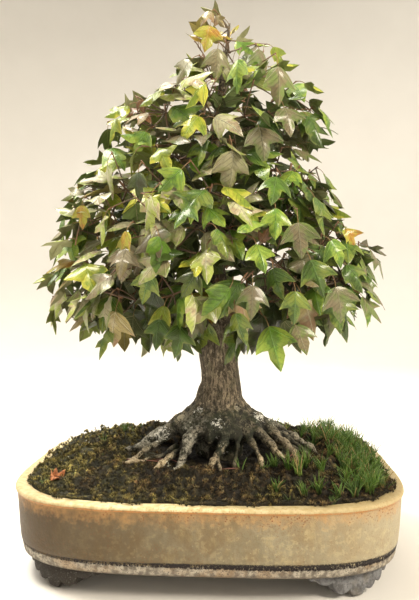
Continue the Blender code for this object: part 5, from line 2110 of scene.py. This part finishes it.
def moss_finish():
    """Brown to olive moss, with painted shade at the sprigs' feet, between its cushions and under the roots.
    """
    finish = Finish("moss", 0.9)
    tip, green, tint = finish.attributes("tip", "green", "tint")
    grain = finish.cloud(480.0, 4.0, 0.7)
    lit = (tint + (grain - 0.5) * 1.3).rise(0.22, 0.88)
    brown = finish.mix(lit, (0.03, 0.018, 0.008), (0.6, 0.38, 0.14))
    olive = finish.mix(lit, (0.06, 0.054, 0.012), (0.95, 0.78, 0.21))
    hue = finish.cloud(170.0, 3.0, 0.6)
    colour = finish.coats(
        finish.mix(green.rise(0.2, 0.75), brown, olive),
        (hue.rise(0.6, 0.66) * 0.55, (0.3, 0.11, 0.055)),
        (hue.rise(0.4, 0.34) * 0.5, (0.13, 0.21, 0.035)),
        (tint.rise(0.97, 0.99) * 0.6, (0.6, 0.54, 0.28)),
    )
    # painted shade: near-black at the sprigs' feet and in the gaps between cushions
    deep = finish.mix(green, (0.012, 0.009, 0.005), (0.018, 0.02, 0.006))
    fine = finish.cloud(900.0, 3.0, 0.65)
    x, _, _ = finish.parts(finish.place)
    # painted shade: near-black under the roots
    root_shade = finish.near((TREE_X + 0.012, -0.022, GROUND_Z), 0.105) + (hue - 0.5) * 0.5
    colour = finish.coats(
        finish.mix(tip.rise(0.14, 0.78), deep, colour),
        (finish.cloud(75.0, 3.0).rise(0.54, 0.64) * 0.5, (0.026, 0.02, 0.009)),
        (fine.rise(0.47, 0.58) * 0.6, (0.02, 0.015, 0.006)),
        ((x + (hue - 0.5) * 0.06).rise(-0.1, -0.03) * 0.22, (0.014, 0.011, 0.006)),
        (root_shade.rise(0.16, 0.46) * 0.8, (0.01, 0.008, 0.006)),
    )
    return finish.wear(colour, 0.8 + tint * 0.15, fine, 0.0012)


MOSS_FINISH = moss_finish()
piece_from(bed_shape(), "moss_bed", [MOSS_FINISH])
for part in MOSS_BANDS:
    piece_from(moss_mesh(part), f"moss_{part}", [MOSS_FINISH], smooth=False)

# %% [markdown]
# ## Grass
#
# Fine grass has seeded itself in the pot, thick on the right and in a few tufts in front. A blade is
# a three-sided tube that bends over and runs to a point, broader in the tufts. Blades spring from
# shared feet, as real tufts do, and each takes its own tint.

# %% Grass blades
# x, y, length of the blades and how many
TUFTS = (
    (0.035, -0.062, 0.012, 4), (0.052, -0.066, 0.009, 9), (0.062, -0.062, 0.013, 12),
    (0.074, -0.072, 0.02, 10), (0.081, -0.086, 0.022, 12), (0.088, -0.068, 0.019, 9), (0.06, -0.104, 0.01, 8),
    (0.084, -0.108, 0.013, 9), (0.096, -0.1, 0.018, 10), (0.101, -0.08, 0.019, 10), (0.093, -0.048, 0.018, 8),
    (0.031, -0.088, 0.012, 2), (0.078, 0.062, 0.019, 7), (0.101, 0.05, 0.016, 6), (-0.101, 0.06, 0.013, 8),
    (-0.092, 0.062, 0.017, 4), (-0.147, -0.083, 0.009, 12), (0.07, 0.094, 0.014, 6), (-0.03, 0.098, 0.014, 7),
    (-0.118, 0.02, 0.01, 4), (0.02, 0.108, 0.012, 6), (0.112, -0.108, 0.016, 8), (0.126, -0.103, 0.018, 9),
    (0.138, -0.095, 0.017, 9), (0.07, -0.113, 0.008, 6), (0.105, -0.117, 0.01, 6),
)
FINE_BLADE = 0.00054
TUFT_BLADE = 0.00072


def blade_course(foot, length, broad, dice):
    """A blade of grass that rises from near its foot and bends over."""
    foot = foot + Vector((dice.gauss(0.0, 0.0012), dice.gauss(0.0, 0.0012), -0.002))
    bearing = dice.uniform(0.0, math.tau)
    out = Vector((math.cos(bearing), math.sin(bearing), 0.0))
    length = length * dice.uniform(0.6, 1.15) + 0.002
    lean, bend = dice.uniform(0.0, 0.35), dice.uniform(0.0, 0.55)
    points = []
    for share in even(4):
        tilt = lean + bend * share
        points.append(foot + out * length * share * math.sin(tilt) + UP * length * share * math.cos(tilt))
    return points, [broad * (1.0 - share) ** 0.7 + 0.00006 for share in even(4)], [dice.random()] * 5


def grass_courses():
    """Every blade: those of the thick patch on the right, then those of the tufts."""
    dice = random.Random("grass")
    feet, courses = [], []
    for _ in range(6000):
        x, y = dice.uniform(0.02, 0.17), dice.uniform(-0.125, 0.125)
        thick = held((x - 0.108 + 0.035 * ripple(x, y, 34.0, 1.0)) / 0.03) * (1.0 if y > -0.116 else 0.4)
        if len(feet) < 290 and dice.random() < thick and in_pot(x, y, 0.0125):
            feet.append((x, y, dice.uniform(0.011, 0.022), dice.randint(4, 9), FINE_BLADE))
    feet += [(x, y, length, round(1.5 * count), TUFT_BLADE) for x, y, length, count in TUFTS]
    for x, y, length, count, broad in feet:
        foot = in_the_open(x, y, 0.001)
        if foot is None:
            continue
        for _ in range(count):
            course = blade_course(foot, length, broad, dice)
            if all(in_pot(p.x, p.y, 0.0005) for p in course[0]):
                courses.append(course)
    return courses


def grass_finish():
    """Green blades, each with its own tint, a few of them straw, and dark at the foot."""
    finish = Finish("grass", 0.5)
    tint = finish.attributes("along")[0]
    height = finish.parts(finish.place)[2]
    colour = finish.coats(
        finish.mix(tint, (0.042, 0.105, 0.015), (0.155, 0.285, 0.04)),
        (finish.cloud(120.0, 2.0).rise(0.5, 0.7) * 0.5, (0.24, 0.3, 0.06)),
        (tint.rise(0.9, 0.93), (0.46, 0.33, 0.13)),
        (height.rise(GROUND_Z + 0.004, GROUND_Z - 0.01) * 0.6, (0.05, 0.07, 0.015)),
    )
    return finish.wear(colour, 0.42 + tint * 0.15, finish.cloud(900.0, 2.0), 0.0003)


piece_from(joined_tubes("grass", grass_courses(), 3), "grass", [grass_finish()])

# %% [markdown]
# ## Small things on the soil
#
# Purple rootlets cross the hollows in front of the trunk, a red seedling stem stands to the right,
# and a few pale buds and a dry scrap of leaf lie on the moss. They are few, but without them the
# ground looks made up.

# %% Rootlets and a seedling's stem
# x, y and rise over the ground in steps of 4 mm
ROOTLETS = (
    ((-0.024, -0.052, 0.2), (-0.015, -0.058, 0.9), (-0.005, -0.057, 1.1), (0.005, -0.05, 0.4)),
    ((0.01, -0.051, 0.3), (0.018, -0.054, 0.9), (0.026, -0.052, 0.9), (0.031, -0.047, 0.2)),
    ((-0.058, -0.034, 0.2), (-0.046, -0.032, 1.0), (-0.036, -0.034, 0.9), (-0.03, -0.03, 0.3)),
    ((-0.079, -0.045, 0.1), (-0.066, -0.041, 0.7), (-0.052, -0.04, 0.5), (-0.042, -0.034, 0.2)),
)
# the seedling's stem and its two twigs: which way and how long
SEEDLING = (((0.05, 0.0, 1.0), 0.015), ((0.75, -0.1, 0.9), 0.006), ((-0.6, 0.1, 0.9), 0.005))
rootlets = []
for route in ROOTLETS:
    laid = [Vector((x, y, moss_top(x, y) + 0.004 * rise)) for x, y, rise in route]
    points, _ = as_course(laid, [0.0] * len(route), 12)
    rootlets.append((points, [0.0007 - 0.00003 * k for k in range(13)], even(12)))
stem_foot = Vector((0.074, -0.052, moss_top(0.074, -0.052) - 0.002))
for way, length in SEEDLING:
    start = stem_foot if length > 0.01 else stem_foot + Vector((0.0005, 0.0, 0.01))
    points = [start + Vector(way).normalized() * length * share for share in even(3)]
    rootlets.append((points, [0.0006 - 0.0001 * k for k in range(4)], even(3)))
ROOTLET_FINISH = twig_finish("rootlet", (0.22, 0.1, 0.085), (0.34, 0.13, 0.085))
piece_from(joined_tubes("rootlets", rootlets, 7), "rootlets", [ROOTLET_FINISH])

# %% Buds
# x, y, spread and how many
BUD_GROUPS = (
    (-0.094, 0.055, 0.01, 14), (-0.06, 0.04, 0.007, 8), (-0.034, -0.074, 0.006, 9),
    (-0.002, -0.072, 0.005, 4), (-0.13, -0.02, 0.02, 6),
)


def buds_shape():
    """Small pale buds and grains, one bmesh sphere each, scattered in a few groups."""
    dice = random.Random("buds")
    shape = bmesh.new()
    for x, y, spread, count in BUD_GROUPS:
        for _ in range(count):
            px, py = x + dice.gauss(0.0, spread * 0.5), y + dice.gauss(0.0, spread * 0.5)
            foot = in_the_open(px, py, 0.001) if in_pot(px, py, 0.016) else None
            if foot is None:
                continue
            size = dice.uniform(0.0003, 0.0007)
            made = bmesh.ops.create_icosphere(shape, subdivisions=1, radius=size)["verts"]
            for vert in made:
                vert.co *= 1.0 + dice.uniform(-0.25, 0.25)
            bmesh.ops.translate(shape, verts=made, vec=foot + UP * dice.uniform(0.002, 0.0036))
    return shape


buds = Finish("buds", 0.7)
blotches = buds.cloud(700.0, 2.0)
buds.wear(buds.mix(blotches, (0.5, 0.5, 0.36), (0.78, 0.78, 0.66)), blotches * 0.3 + 0.5, blotches, 0.0003)
piece_from(buds_shape(), "buds", [buds.material])

# %% A dry scrap of leaf
def scrap_shape():
    """A curled scrap of dry leaf on the moss."""
    shape = bmesh.new()
    bmesh.ops.create_grid(shape, x_segments=12, y_segments=9, size=0.5)
    for vert in shape.verts:
        x, y = vert.co.x, vert.co.y * (1.0 - 0.8 * abs(vert.co.x))
        curl = 0.9 * x * x + 1.8 * y * y + 0.24 * math.sin(12.0 * x + 7.0 * y)
        vert.co = Vector((x * 0.013, y * 0.014, curl * 0.012))
    bmesh.ops.recalc_face_normals(shape, faces=shape.faces)
    bmesh.ops.solidify(shape, geom=shape.faces[:], thickness=0.0004)
    bmesh.ops.rotate(shape, verts=shape.verts, cent=(0, 0, 0), matrix=Euler((0.5, 0.2, 0.6)).to_matrix())
    spot = Vector((-0.136, -0.078, 0.0))
    bmesh.ops.translate(shape, verts=shape.verts, vec=(spot.x, spot.y, moss_top(spot.x, spot.y) + 0.0035))
    return shape


dry = Finish("dry_leaf", 0.75)
blotches = dry.cloud(300.0, 4.0, 0.6)
brown = dry.mix(blotches.rise(0.4, 0.6), (0.11, 0.03, 0.012), (0.4, 0.15, 0.05))
dry.wear(brown, blotches * 0.3 + 0.55, blotches, 0.0006)
piece_from(scrap_shape(), "dry_leaf", [dry.material])
